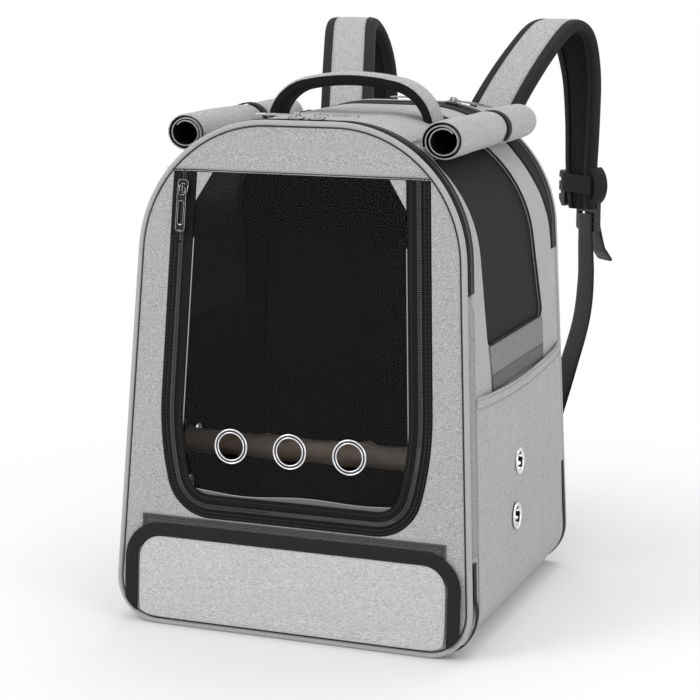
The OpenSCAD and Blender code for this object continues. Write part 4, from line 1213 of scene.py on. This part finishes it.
class CARRIER_OT_window(bpy.types.Operator):
    """Clear window sheet with its eyelets and corner patches"""

    bl_idname = "carrier.window"
    bl_label = "Window"

    def execute(self, context):
        dress("vinyl", "window_sheet")
        spots = [Matrix.Translation(on_front(i * 53 - 3, 159, -2.2))
                 @ Matrix.Rotation(math.pi / 2 - LEAN, 4, "X") for i in (-1, 0, 1)]
        piece(merge(*(self.eyelet(spot, 11.0, 15.0, 1.0) for spot in spots)), "window_rings", "plated",
              "window_door", replaces="window_eyelets", sharp=60)
        rims = []
        for side in (1, -1):
            for y, z in SIDE_HOLES:
                at, normal = skin_frame(s_at_height(z), y, -1.6, side)
                turn = normal.to_track_quat("Z", "Y").to_matrix().to_4x4()
                rims.append(self.eyelet(Matrix.Translation(at) @ turn, 8.0, 11.5, 8.0))
        piece(merge(*rims), "side_rings", "plated", replaces="side_eyelets", sharp=60)
        piece(merge(*(self.groove(spot, 12.3, 13.5) for spot in spots)), "window_ring_grooves",
              "moulded", "window_door")
        # painted shade: a thin dark cord along the crease of the seam across the front, above the window
        seam_v = 388.3
        half = arch(s_at_height(seam_v), 6.0)[0].x
        piece(cord_on(on_front, [(half * (k / 20 - 1), seam_v) for k in range(41)], -1.0, 0.45),
              "front_crease_shade", "black_thread")
        # painted highlights: light grey cords along the clear sheet's side edges and along the top of its
        # hem
        sheet_highlights = [cord_on(on_front, [(side * leg_x(v, 20.9), v) for v in range(134, 336, 6)], -1.9, 0.5)
                for side in (1, -1)]
        sheet_highlights.append(cord_on(on_front, [(x, self.hem_height(x) + 0.2) for x in range(-92, 93, 4)],
                            -1.8, 0.35))
        piece(merge(*sheet_highlights), "window_sheet_highlights", "fold_edge", "window_door")

        def hem(u, w):
            x = -92 + 184 * u
            low = self.floor_height(x)
            return on_front(x, low + (self.hem_height(x) - low) * w, -1.9)

        piece(grid(60, 3, hem), "window_hem", "fold", "window_door", thick=0.25)
        edge, top = 112.5 - 20.8, 386.6
        patches = [[(side * edge, top), (side * (edge + 0.9), 363), (side * (edge - 14), top)]
                   for side in (1, -1)]
        corners = [flat_slab([patch], -2.2, -1.2, on_front) for patch in patches]
        piece(merge(*corners), "corner_cloth", "heather", "window_door",
              replaces="window_corner_patches", bevel=0.3)
        return {"FINISHED"}

    @staticmethod
    def floor_height(x):
        """Height of the door tape's inner edge over the window's foot."""
        corner, flat = 24.0, 76.5
        over = min(max(0.0, abs(x) - flat), corner)
        return 115.8 + corner - math.sqrt(corner ** 2 - over ** 2)

    def hem_height(self, x):
        """Top of the clear sheet's folded hem, which waves a little."""
        return max(self.floor_height(x), 119.6 + 1.3 * math.sin(x / 17 + 1) + 1.1 * math.sin(x / 41 - 0.5))

    @staticmethod
    def groove(place, inner, outer):
        """The shadow line between an eyelet's rim and its barrel's roll."""
        def put(u, w):
            r, a = inner + (outer - inner) * w, 2 * math.pi * u
            return Vector((r * math.cos(a), r * math.sin(a), 0.62)) * MM

        bm = grid(48, 1, put)
        bmesh.ops.remove_doubles(bm, verts=bm.verts, dist=1e-7)
        bmesh.ops.transform(bm, matrix=place, verts=bm.verts)
        return outward(bm, lambda c: Vector((0, -1, 0)))

    @staticmethod
    def eyelet(place, clear, rim, grip):
        """A rolled metal rim and its barrel, spun about the hole's axis."""
        bm = bmesh.new()
        profile = [(clear + 0.2, -grip), (clear, -grip + 0.4), (clear, 0.2)]
        for start, wide in ((clear, 0.65), (rim - 1.5, 0.75)):
            for k in range(7):
                a = math.pi - math.pi * k / 6
                profile.append((start + wide + wide * math.cos(a), 0.45 + 0.8 * math.sin(a)))
        profile += [(rim, 0.0), (rim - 0.4, -0.15), (clear + 0.9, -0.15), (clear + 0.9, -grip)]
        verts = [bm.verts.new((x * MM, 0, z * MM)) for x, z in profile]
        edges = [bm.edges.new((a, b)) for a, b in zip(verts, verts[1:] + verts[:1])]
        bmesh.ops.spin(bm, geom=verts + edges, cent=(0, 0, 0), axis=(0, 0, 1), dvec=(0, 0, 0),
                       angle=2 * math.pi, steps=48, use_merge=True, use_duplicate=False)
        bmesh.ops.remove_doubles(bm, verts=bm.verts, dist=1e-7)
        bmesh.ops.transform(bm, matrix=place, verts=bm.verts)
        bmesh.ops.recalc_face_normals(bm, faces=bm.faces)
        return bm


class CARRIER_OT_tray_flap(bpy.types.Operator):
    """Padded flap over the floor tray, its binding and its hook and loop strips"""

    bl_idname = "carrier.tray_flap"
    bl_label = "Tray flap"

    def execute(self, context):
        pad = self.flap_line(139.5, 77.5, 20, 6.2)
        bm = pillow(pad, 0.4, 3.0, 1.1, on_front, rings=8, power=8,
                    bumps=lambda x, v: 0.35 * noise.noise(Vector((x / 40, v / 30, 0))))
        obj = piece(bm, "flap_cloth", "heather_light", "tray_flap", replaces="tray_flap_panel",
                    levels=1)
        pairs = self.binding_pairs()
        count = len(pairs) - 1

        def put(u, w):
            outer, inner = pairs[round(u * count)]
            half = (outer - inner) / 2
            a = 2 * math.pi * w
            across = math.copysign(abs(math.cos(a)) ** 0.75, math.cos(a))
            up = math.copysign(abs(math.sin(a)) ** 0.8, math.sin(a)) * 1.75 * min(1, half.length / 3)
            q = (outer + inner) / 2 + half * across
            return on_front(q.x, q.y, 1.95 + up)

        bm = grid(count, 18, put, wrap=True, fill=True)
        piece(bm, "flap_edge_cloth", "binding", "tray_flap", replaces="tray_flap_binding")
        inside_line = [inner.lerp(outer, 0.14) for outer, inner in pairs[6:-6]]
        seam = plane_run([(p.x, p.y) for p in inside_line], on_front, 3.1)
        piece(stitches(seam, length=2.2), "flap_edge_stitches", "black_thread", "tray_flap")
        dress("loop", "tray_flap_loop_strip")
        strip = [(-136, 57.4), (136, 57.4), (136, 95), (-136, 95)]
        strip_piece = flat_slab([strip], -1.0, 0.25, on_front)
        piece(strip_piece, "hook_tape", "hook", replaces="flap_hook_strip")
        zigzag = [(-134 + 1.6 * i, 94.2 if i % 2 else 92.2) for i in range(168)]
        rows = plane_run([(-134, 91.2), (134, 91.2)], on_front, 0.35) + self.zigzag(zigzag)
        for side in (1, -1):
            rows += self.zigzag([(side * (134.2 if i % 2 else 132.4), 76 + 1.6 * i) for i in range(12)])
        piece(stitches(rows, length=2.4, width=0.42), "hook_tape_stitches", "black_thread")
        return {"FINISHED"}

    @staticmethod
    def zigzag(points):
        """One stitch from each point of a line to the next."""
        normal = (on_front(0, 0, 1) - on_front(0, 0, 0)).normalized()
        at = [on_front(x, v, 0.35) for x, v in points]
        return [((a + b) / 2, (b - a).normalized(), normal) for a, b in zip(at, at[1:])]

    @staticmethod
    def flap_line(half, top, r, low):
        """Outline of the flap: round above, following the body's lower corners below."""
        lower = arc(LOWER_X, LOWER_R, LOWER_R - 6.2, -80, -20, 6)
        lower = [(min(x, half), max(low, v)) for x, v in lower if x < half + 4]
        right = [(0, low)] + [(half * k / 12 * 0.84, low) for k in range(1, 12)] + lower
        right += [(half, v) for v in (34, 44)]
        right += arc(half - r, top - r, r, 0, 90, 6)
        right += [(half * k / 12 * 0.9, top) for k in range(11, 0, -1)]
        right += [(0, top)]
        left = [(-x, v) for x, v in reversed(right[1:-1])]
        return right + left

    @staticmethod
    def binding_pairs():
        """Outer and inner edge of the binding, from the lower right over the top to the lower left."""
        outside, inside_x, top, width = 150.7, 139.3, 88.6, 11.4
        reach, corner = LOWER_R - 4.8, 32.0
        right = []
        first, last = math.acos((inside_x + 0.7 - LOWER_X) / reach), math.acos((outside - LOWER_X) / reach)
        for k in range(7):
            a = first + (last - first) * k / 6
            x, v = LOWER_X + reach * math.cos(a), LOWER_R - reach * math.sin(a)
            right.append((Vector((x, v)), Vector((inside_x, v))))
        start = right[-1][0].y
        for k in range(1, 9):
            v = start + (top - corner - start) * k / 8
            right.append((Vector((outside, v)), Vector((inside_x, v))))
        cx, cv = outside - corner, top - corner
        for k in range(1, 13):
            a = math.pi / 2 * k / 12
            turn = Vector((math.cos(a), math.sin(a)))
            right.append((Vector((cx, cv)) + turn * corner, Vector((cx, cv)) + turn * (corner - width)))
        right += [(Vector((cx * k / 24, top)), Vector((cx * k / 24, top - width)))
                  for k in range(23, -1, -1)]
        left = [(Vector((-a.x, a.y)), Vector((-b.x, b.y))) for a, b in reversed(right[:-1])]
        return right + left


class CARRIER_OT_cabin(bpy.types.Operator):
    """Branch perch with its cups, and the floor tray"""

    bl_idname = "carrier.cabin"
    bl_label = "Cabin"

    def execute(self, context):
        low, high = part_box("perch")
        x0, x1 = low[0], high[0]
        cy, cz, r = -0.050, 0.138, 0.0106

        def put(u, w):
            x = x0 + (x1 - x0) * u
            a = 2 * math.pi * w
            p = Vector((x, math.cos(a), math.sin(a)))
            swell = 1 + 0.05 * math.sin(x * 90) + 0.06 * noise.noise(Vector((x * 38, 0, 0)))
            rough = 0.10 * noise.noise(Vector((x * 160, p.y * 3, p.z * 3)))
            knob = 0.0
            for kx, ka in ((-0.062, 0.7), (0.014, 3.4), (0.07, 5.4), (-0.03, 2.2), (0.035, 1.2)):
                d = ((x - kx) / 0.006) ** 2 + (math.atan2(math.sin(a - ka), math.cos(a - ka)) / 0.5) ** 2
                knob += 0.28 * math.exp(-d)
            rr = r * min(1.28, swell + rough + knob)
            return Vector((x, cy + rr * p.y, cz + rr * p.z))

        bm = grid(150, 26, put, wrap=True, fill=True)
        piece(bm, "branch", "bark", replaces="perch", sharp=80)
        dress("moulded", "perch_cups", edges=0.6)
        dress("tray", "floor_tray", edges=0.6)
        return {"FINISHED"}


ROLL_WIDE, ROLL_TALL = 1.17, 1.06


class CARRIER_OT_rolled_flaps(bpy.types.Operator):
    """Window flaps rolled up over the mesh windows, with their elastic ties"""

    bl_idname = "carrier.rolled_flaps"
    bl_label = "Rolled flaps"

    def execute(self, context):
        radius, thick, pitch, turns = 15.3, 1.6, 2.75, 2.45
        reach = SHOULDER_R - SKIN_IN + 0.4 + 17.0
        cx = CROWN_HALF + reach * math.cos(math.radians(50))
        cz = BODY_H - SHOULDER_R + reach * math.sin(math.radians(50))
        cols, rows = 74, 48
        for side, word in ((1, "right"), (-1, "left")):
            def put(u, w):
                a = 360 * turns * u
                y = -94 + 219 * w
                r = radius - pitch * a / 360
                squeeze = 1 - 0.10 * math.exp(-((y - 38.5) / 9) ** 2)
                flare = 1 + 0.03 * math.sin(w * 9 + side) * (1 - u)
                t = math.radians(200 - a)
                crease = 0.35 * noise.noise(Vector((a / 70, y / 26, 5 * side)))
                loose = 0.8 * max(0.0, (u - 0.8) / 0.2) * math.sin(w * 5 + 1)
                r = (r + crease + loose) * squeeze * flare
                return Vector((side * (cx + r * ROLL_WIDE * math.cos(t)), y,
                               cz + r * ROLL_TALL * math.sin(t))) * MM

            bm = grid(cols, rows, put)
            outward(bm, lambda c: c - Vector((side * cx * MM, c.y, cz * MM)))
            obj = piece(bm, f"flap_roll_{word}", "heather", replaces=f"rolled_flap_{word}", sharp=80)
            obj.data.materials.append(finish("lining_cloth"))
            two_sided = thicken(obj, thick, 0)
            two_sided.material_offset = 1
            subdivide(obj, 1)
        parts = []
        for side in (1, -1):
            def ring(u, w):
                t = math.radians(-40 + 235 * u)
                y = 33.5 + 10.5 * w
                r = 14.9 + 0.15 * math.sin(w * math.pi)
                return Vector((side * (cx + r * ROLL_WIDE * math.cos(t)), y,
                               cz + r * ROLL_TALL * math.sin(t))) * MM

            def tongue(u, w):
                s = CROWN_HALF + 28 + (SHOULDER_R * math.radians(37) - 28) * u
                return side_point(side, s, 33.5 + 10.5 * w + 5 * (1 - u), 0.4)

            parts += [grid(40, 4, ring), grid(16, 4, tongue)]
        piece(merge(*parts), "elastic_ties", "binding", replaces="flap_ties", thick=1.0, offset=1)
        return {"FINISHED"}


class CARRIER_OT_handle(bpy.types.Operator):
    """Padded carry handle with a cloth cover on top, sewn to patches on the crown"""

    bl_idname = "carrier.handle"
    bl_label = "Carry handle"

    def execute(self, context):
        line = self.centre_line(6.4)
        stations = [[x, 8.0, z, 90, 29.0, 10.5] for x, z in line]
        bm = sweep_band(stations, 2, lambda w, t: soft_section(w, t, 20, 3.6))
        core = piece(bm, "handle_padding", "air_mesh", None, replaces="handle_core")
        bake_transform(core)
        subdivide(core, 1)

        def cover(w, t):
            h = w / 2 - 0.6
            up = -(t / 2 + 0.2)
            return [(-h, up + 1.5), (-h + 0.5, up + 0.7), (-h + 1.8, up), (-h * 0.5, up - 0.6),
                    (0, up - 0.8), (h * 0.5, up - 0.6), (h - 1.8, up), (h - 0.5, up + 0.7), (h, up + 1.5)]

        bm = sweep_band(stations, 2, cover, closed=False)
        top = piece(bm, "handle_cover_cloth", "heather", None, replaces="handle_cover", thick=0.6,
                    offset=0)
        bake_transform(top)
        subdivide(top, 1)
        # the patches reach from 63 to 87 mm beside the middle
        s0, s1 = (CROWN_HALF + 116 * math.asin((x - 30) / 115) for x in (63, 87))
        parts = [grid(12, 10, lambda u, w: side_point(side, s0 + (s1 - s0) * u, -12 + 40 * w, 0.9))
                 for side in (1, -1)]
        piece(merge(*parts), "handle_patch_cloth", "heather", replaces="handle_patches", thick=0.9,
              bevel=0.3)
        return {"FINISHED"}

    @staticmethod
    def centre_line(inset):
        side = 79 - 46
        lean = math.degrees(math.asin(side / (200 - 46)))
        crown_z = BODY_H + 33 - 200
        end_z = crown_z + (200 - 46) * math.cos(math.radians(lean))
        foot = math.degrees(math.asin((437.6 - 15 - end_z) / 46))
        return (arc(side, end_z, 46 - inset, foot, 90 - lean, 10)
                + arc(0, crown_z, 200 - inset, 90 - lean, 90 + lean, 8)[1:]
                + arc(-side, end_z, 46 - inset, 90 + lean, 180 - foot, 10)[1:])


def stations(rows, sizes):
    """Stations of a band, from rows of x, distance off the back, height and turn, and its sizes."""
    return [[x, BACK_Y + 4 + out, z, turn, *size] for (x, out, z, turn), size in zip(rows, sizes)]


STRAP_SIZES = [(50, 5)] + [(50, 10)] * 6 + [(48, 10), (44, 10), (38, 8)]
WEBBING_SIZES = [(25, 1.6)] * 8
STRAPS = {
    "right": stations([(66, 4, 372, 0), (69, 12, 398, 0), (76, 36, 428, -4), (90, 80, 468, -9),
                       (103, 122, 494, -14), (115, 148, 486, -24), (123, 154, 450, -34),
                       (126, 152, 405, -40), (127, 148, 355, -42), (129, 146, 316, -42)], STRAP_SIZES),
    "left": stations([(-66, 4, 372, 0), (-69, 12, 398, 0), (-77, 36, 428, 4), (-92, 80, 468, 6),
                      (-105, 122, 494, 2), (-104, 150, 484, -4), (-96, 158, 450, -8),
                      (-92, 154, 405, -8), (-95, 148, 355, -4), (-101, 146, 316, 0)], STRAP_SIZES)}
WEBBINGS = {
    "right": stations([(131.8, 149.1, 311, -42), (133, 147, 284, -42), (139, 128, 250, -42),
                       (143, 98, 214, -40), (140, 60, 172, -34), (132, 26, 124, -20),
                       (121, 4, 80, 0), (118, 0.4, 58, 0)], WEBBING_SIZES),
    "left": stations([(-101, 150.2, 311, 0), (-103, 148, 284, 0), (-112, 129, 250, 6),
                      (-122, 98, 214, 10), (-130, 60, 172, 12), (-130, 26, 124, 10),
                      (-121, 4, 80, 0), (-118, 0.4, 58, 0)], WEBBING_SIZES)}


class CARRIER_OT_straps(bpy.types.Operator):
    """Padded shoulder straps, webbing, locks and chest strap pieces"""

    bl_idname = "carrier.straps"
    bl_label = "Shoulder straps"

    def execute(self, context):
        for word, route in STRAPS.items():
            bm = sweep_band(route, 6, lambda w, t: soft_section(w, t, 20, 3.4, 0.5))
            obj = piece(bm, f"strap_padding_{word}", "air_mesh", replaces=f"shoulder_strap_{word}")

            def face(w, t):
                h = w / 2 - 8.5
                return [(-h + 2 * h * k / 8, -(t / 2 + 0.35 + 0.9 * (1 - (2 * k / 8 - 1) ** 4)))
                        for k in range(9)]

            bm = sweep_band(route, 6, face, closed=False)
            piece(bm, f"strap_face_{word}", "heather", thick=0.7, offset=0)
            parts = []
            for side in (1, -1):
                def edge(w, t):
                    h = w / 2
                    pts = [(h - 9.5, -(t / 2 + 0.75)), (h - 5, -(t / 2 + 0.95)), (h - 1.6, -(t / 2 + 0.2)),
                           (h + 0.25, -t * 0.22), (h + 0.25, t * 0.22), (h - 1.6, t / 2 + 0.2),
                           (h - 5, t / 2 + 0.6), (h - 9.5, t / 2 + 0.35)]
                    return [(side * a, b) for a, b in pts]
                parts.append(sweep_band(route, 6, edge, closed=False))
            piece(merge(*parts), f"strap_binding_{word}", "binding", thick=0.9, offset=0, levels=1)
            self.seams(route, word)
        for word, route in WEBBINGS.items():
            bm = sweep_band(route, 10, lambda w, t: soft_section(w, t, 12, 4.0))
            piece(bm, f"webbing_{word}", "webbing", replaces=f"strap_webbing_{word}")
        tails = []
        for route in STRAPS.values():
            x, y, z, turn = route[-1][:4]
            place = Matrix.Translation(Vector((x, y, z)) * MM) @ Matrix.Rotation(math.radians(turn), 4, "Z")
            tail = [[0, 11.7, -4, 0, 25, 1.6], [0, 12.4, -9, 0, 25, 1.6], [0, 15.4, -22, 0, 25, 1.6],
                    [0, 20, -38, 0, 25, 1.6], [0, 22.5, -43, 0, 25, 3.4], [0, 29, -52, 0, 25, 3.4]]
            bm = sweep_band(tail, 6, lambda w, t: soft_section(w, t, 12, 4.0))
            bmesh.ops.transform(bm, matrix=place, verts=bm.verts)
            tails.append(bm)
        piece(merge(*tails), "webbing_ends", "webbing", replaces="webbing_tails")
        dress("moulded", "ladder_locks", edges=0.7, segments=3)
        dress("moulded", "chest_buckles", edges=0.9, segments=3)
        dress("binding", "chest_loops", edges=0.4)
        dress("black_cloth", "strap_yoke", edges=1.0, segments=3)
        dress("black_cloth", "lower_anchors", edges=0.9, segments=3)
        return {"FINISHED"}

    @staticmethod
    def seams(route, word):
        """Stitches along both sides of a strap's face."""
        rows = route_points(route, 24)
        run, passed = [], 0.0
        for a, b in zip(rows, rows[1:]):
            pa, pb = Vector(a[:3]), Vector(b[:3])
            passed += (pb - pa).length
            if passed < 3.6:
                continue
            passed = 0.0
            along = (pb - pa).normalized()
            across, up = band_axes(along, a[3])
            for side in (1, -1):
                at = pa + across * side * (a[4] / 2 - 7.6) - up * (a[5] / 2 + 1.45)
                run.append((at * MM, along, -up))
        piece(stitches(run, length=2.3), f"strap_stitches_{word}", "black_thread")


PADS = ((-58, 268, 100, 150), (58, 268, 100, 150), (0, 118, 216, 116))


class CARRIER_OT_back_pads(bpy.types.Operator):
    """Stuffed pads against the wearer's back"""

    bl_idname = "carrier.back_pads"
    bl_label = "Back pads"

    def execute(self, context):
        parts = []
        for x, z, w, h in PADS:
            box = rounded_box(x - w / 2 + 2, z - h / 2 + 2, x + w / 2 - 2, z + h / 2 - 2, 18)
            outline = [tuple(p) for p, _ in resample(box, 7.0, closed=True)]
            parts.append(pillow(outline, -0.6, 7.5, 3.6, on_back, rings=9, power=3.0,
                                bumps=self.channels(x, w)))
        obj = piece(merge(*parts), "back_padding", "air_mesh", replaces="back_pads")
        self.swell(context, obj)
        subdivide(obj, 1)
        cords = []
        for x, z, w, h in PADS:
            right, up = w / 2 - 0.8, h / 2 - 0.8
            outline = rounded_box(x - right, z - up, x + right, z + up, 18, 10)
            cords.append(cord_on(on_back, outline, 0.9, 1.5, True, 10))
        piece(merge(*cords), "pad_cords", "binding")
        return {"FINISHED"}

    @staticmethod
    def channels(x, w):
        """Upright grooves that part a pad in three."""
        def depth(px, pz):
            k = (px - x) / (w / 3)
            near = abs(k - round(k - 0.5) - 0.5)
            return -2.2 * math.exp(-((near * w / 3) / 5.0) ** 2)
        return depth

    @staticmethod
    def swell(context, obj):
        """Let each pad fill out under pressure, held at its rim."""
        scene = context.scene
        work = obj.copy()
        work.data = obj.data.copy()
        scene.collection.objects.link(work)
        before = [v.co.copy() for v in work.data.vertices]
        pins = work.vertex_groups.new(name="held")
        low = BACK_Y + 1.2
        held = [v.index for v in work.data.vertices if v.co.y / MM < low]
        pins.add(held, 1.0, "REPLACE")
        cloth_mod = work.modifiers.new("cloth", "CLOTH")
        s = cloth_mod.settings
        s.use_pressure = True
        s.uniform_pressure_force = 3.0
        s.tension_stiffness = 25
        s.compression_stiffness = 25
        s.shear_stiffness = 10
        s.bending_stiffness = 1.0
        s.vertex_group_mass = "held"
        s.effector_weights.gravity = 0
        cloth_mod.point_cache.frame_end = scene.carrier_sizes.swell_steps
        for f in range(1, scene.carrier_sizes.swell_steps + 1):
            scene.frame_set(f)
        done = work.evaluated_get(context.evaluated_depsgraph_get())
        most = 0.004
        for v, old, new in zip(obj.data.vertices, before, done.data.vertices):
            move = new.co - old
            if move.length > most:
                move = move.normalized() * most
            v.co = old + move
        bpy.data.objects.remove(work)
        scene.frame_set(1)


class CARRIER_OT_seams(bpy.types.Operator):
    """Stitch lines of the body"""

    bl_idname = "carrier.seams"
    bl_label = "Body seams"

    def execute(self, context):
        pitch = context.scene.carrier_sizes.stitch_pitch
        grey, black = [], []
        half = s_at_seam()
        for side in (1, -1):
            for off in (-1.6, 1.6):
                s = side * (half + off)
                z = arch(s)[0].y
                grey += skin_run([(s, front_y(z, 24)), (s, BACK_Y - 46)], SKIN_IN - 0.75, pitch)
            low = s_at_height(84)
            s0 = s_at_height(293)
            for depth in (7.2, 20.8):
                marks = [s0 + (low - s0) * k / 20 for k in range(21)]
                path = [(side * s, front_y(arch(s)[0].y, depth)) for s in marks]
                grey += skin_run(path, SKIN_IN - 0.2, pitch)
        for inset in (1.8, 5.0):
            black += plane_run(u_line(inset), on_front, -1.0, pitch)
        grey += plane_run([(-118, 389.5), (118, 389.5)], on_front, -0.85, pitch)
        grey += plane_run([(117, 72.5), (146, 72.5)], on_front, -0.85, pitch)
        piece(stitches(grey), "body_stitches", "thread")
        piece(stitches(black), "zip_stitches", "black_thread")
        piece(stitches(plane_run(open_u(17.0, 327), on_front, -1.0, pitch)), "door_stitches",
              "black_thread", "window_door")
        return {"FINISHED"}


class CARRIER_OT_stage(bpy.types.Operator):
    """Pale floor, soft lights and the camera"""

    bl_idname = "carrier.stage"
    bl_label = "Stage"

    def execute(self, context):
        scene = context.scene
        scene.view_settings.view_transform = "Standard"
        m, n, shader = new_material("pale_floor", Roughness=0.95, Specular_IOR_Level=0.0)
        grain = n.noise(n.coords(), 3.0, 2.0)
        n.feed(shader.inputs["Base Color"], n.mix(grain, (0.93,) * 3, (0.95,) * 3))
        # the floor fades to white away from the part
        far = n.add("VectorMath", n.coords(), operation="LENGTH").outputs["Value"]
        fade = n.remap(far, 0.28, 0.75, interpolation_type="SMOOTHSTEP")
        glow = n.add("Emission", (1, 1, 1, 1))
        surface = n.add("MixShader", fade, shader.outputs[0], glow.outputs[0])
        n.feed(m.node_tree.nodes["Material Output"].inputs[0], surface.outputs[0])
        bm = bmesh.new()
        bmesh.ops.create_grid(bm, x_segments=4, y_segments=4, size=20)
        bmesh.ops.translate(bm, verts=bm.verts, vec=(0, 0, -0.0003))
        mesh = bpy.data.meshes.new("floor")
        bm.to_mesh(mesh)
        bm.free()
        floor = bpy.data.objects.new("floor", mesh)
        mesh.materials.append(m)
        scene.collection.objects.link(floor)

        world = bpy.data.worlds.new("studio")
        scene.world = world
        world.use_nodes = True
        world.node_tree.nodes.clear()
        w = Nodes(world.node_tree)
        soft, white = (w.add("Background", (1, 1, 1, 1), strength).outputs[0] for strength in (0.72, 1.0))
        # the camera, glossy and clear surfaces all see a plain white background
        ray = w.add("LightPath").outputs
        seen = w.calc("MAXIMUM", ray["Is Camera Ray"], ray["Is Glossy Ray"])
        seen = w.calc("MAXIMUM", seen, ray["Is Transmission Ray"])
        sky = w.add("MixShader", seen, soft, white).outputs[0]
        w.add("OutputWorld", sky)

        self.lamp("key", (-1.3, -1.5, 1.5), (0, 0, 0.25), 1.3, 15)
        self.lamp("fill", (1.7, -0.9, 0.9), (0, 0, 0.2), 1.2, 6)
        self.lamp("top", (0.1, 0.5, 1.9), (0, 0, 0.3), 1.4, 10)

        camera = bpy.data.cameras.new("camera")
        camera.sensor_width = 36
        camera.lens = 102.34
        camera.clip_end = 60
        eye = bpy.data.objects.new("camera", camera)
        eye.location = (0.6162, -1.6099, 0.5584)
        eye.rotation_euler = (math.radians(78.88), 0, math.radians(20.99))
        scene.collection.objects.link(eye)
        scene.camera = eye
        return {"FINISHED"}

    @staticmethod
    def lamp(name, at, target, size, power):
        light = bpy.data.lights.new(name, "AREA")
        light.shape = "DISK"
        light.size = size
        light.energy = power
        obj = bpy.data.objects.new(name, light)
        obj.location = at
        aim = Vector(target) - Vector(at)
        obj.rotation_euler = aim.to_track_quat("-Z", "Y").to_euler()
        bpy.context.scene.collection.objects.link(obj)


class CARRIER_PT_panel(bpy.types.Panel):
    """Lists the carrier's pieces"""

    bl_idname = "CARRIER_PT_panel"
    bl_label = "Bird carrier"
    bl_space_type = "VIEW_3D"
    bl_region_type = "UI"
    bl_category = "Carrier"

    def draw(self, context):
        layout = self.layout
        for group in (context.scene.carrier_sizes, context.scene.carrier_colours):
            box = layout.box()
            for name in group.__annotations__:
                box.prop(group, name)
        for step in STEPS:
            layout.operator(step.bl_idname)


STEPS = (CARRIER_OT_stage, CARRIER_OT_shell, CARRIER_OT_sides, CARRIER_OT_piping, CARRIER_OT_zips,
         CARRIER_OT_window, CARRIER_OT_tray_flap, CARRIER_OT_cabin, CARRIER_OT_rolled_flaps,
         CARRIER_OT_handle, CARRIER_OT_straps, CARRIER_OT_back_pads, CARRIER_OT_seams)
CLASSES = (CarrierSizes, CarrierColours) + STEPS + (CARRIER_PT_panel,)


def register():
    for cls in CLASSES:
        bpy.utils.register_class(cls)
    bpy.types.Scene.carrier_sizes = PointerProperty(type=CarrierSizes)
    bpy.types.Scene.carrier_colours = PointerProperty(type=CarrierColours)


def unregister():
    del bpy.types.Scene.carrier_colours
    del bpy.types.Scene.carrier_sizes
    for cls in reversed(CLASSES):
        bpy.utils.unregister_class(cls)


def main():
    register()
    for step in STEPS:
        group, name = step.bl_idname.split(".")
        getattr(getattr(bpy.ops, group), name)()


if __name__ == "__main__":
    main()
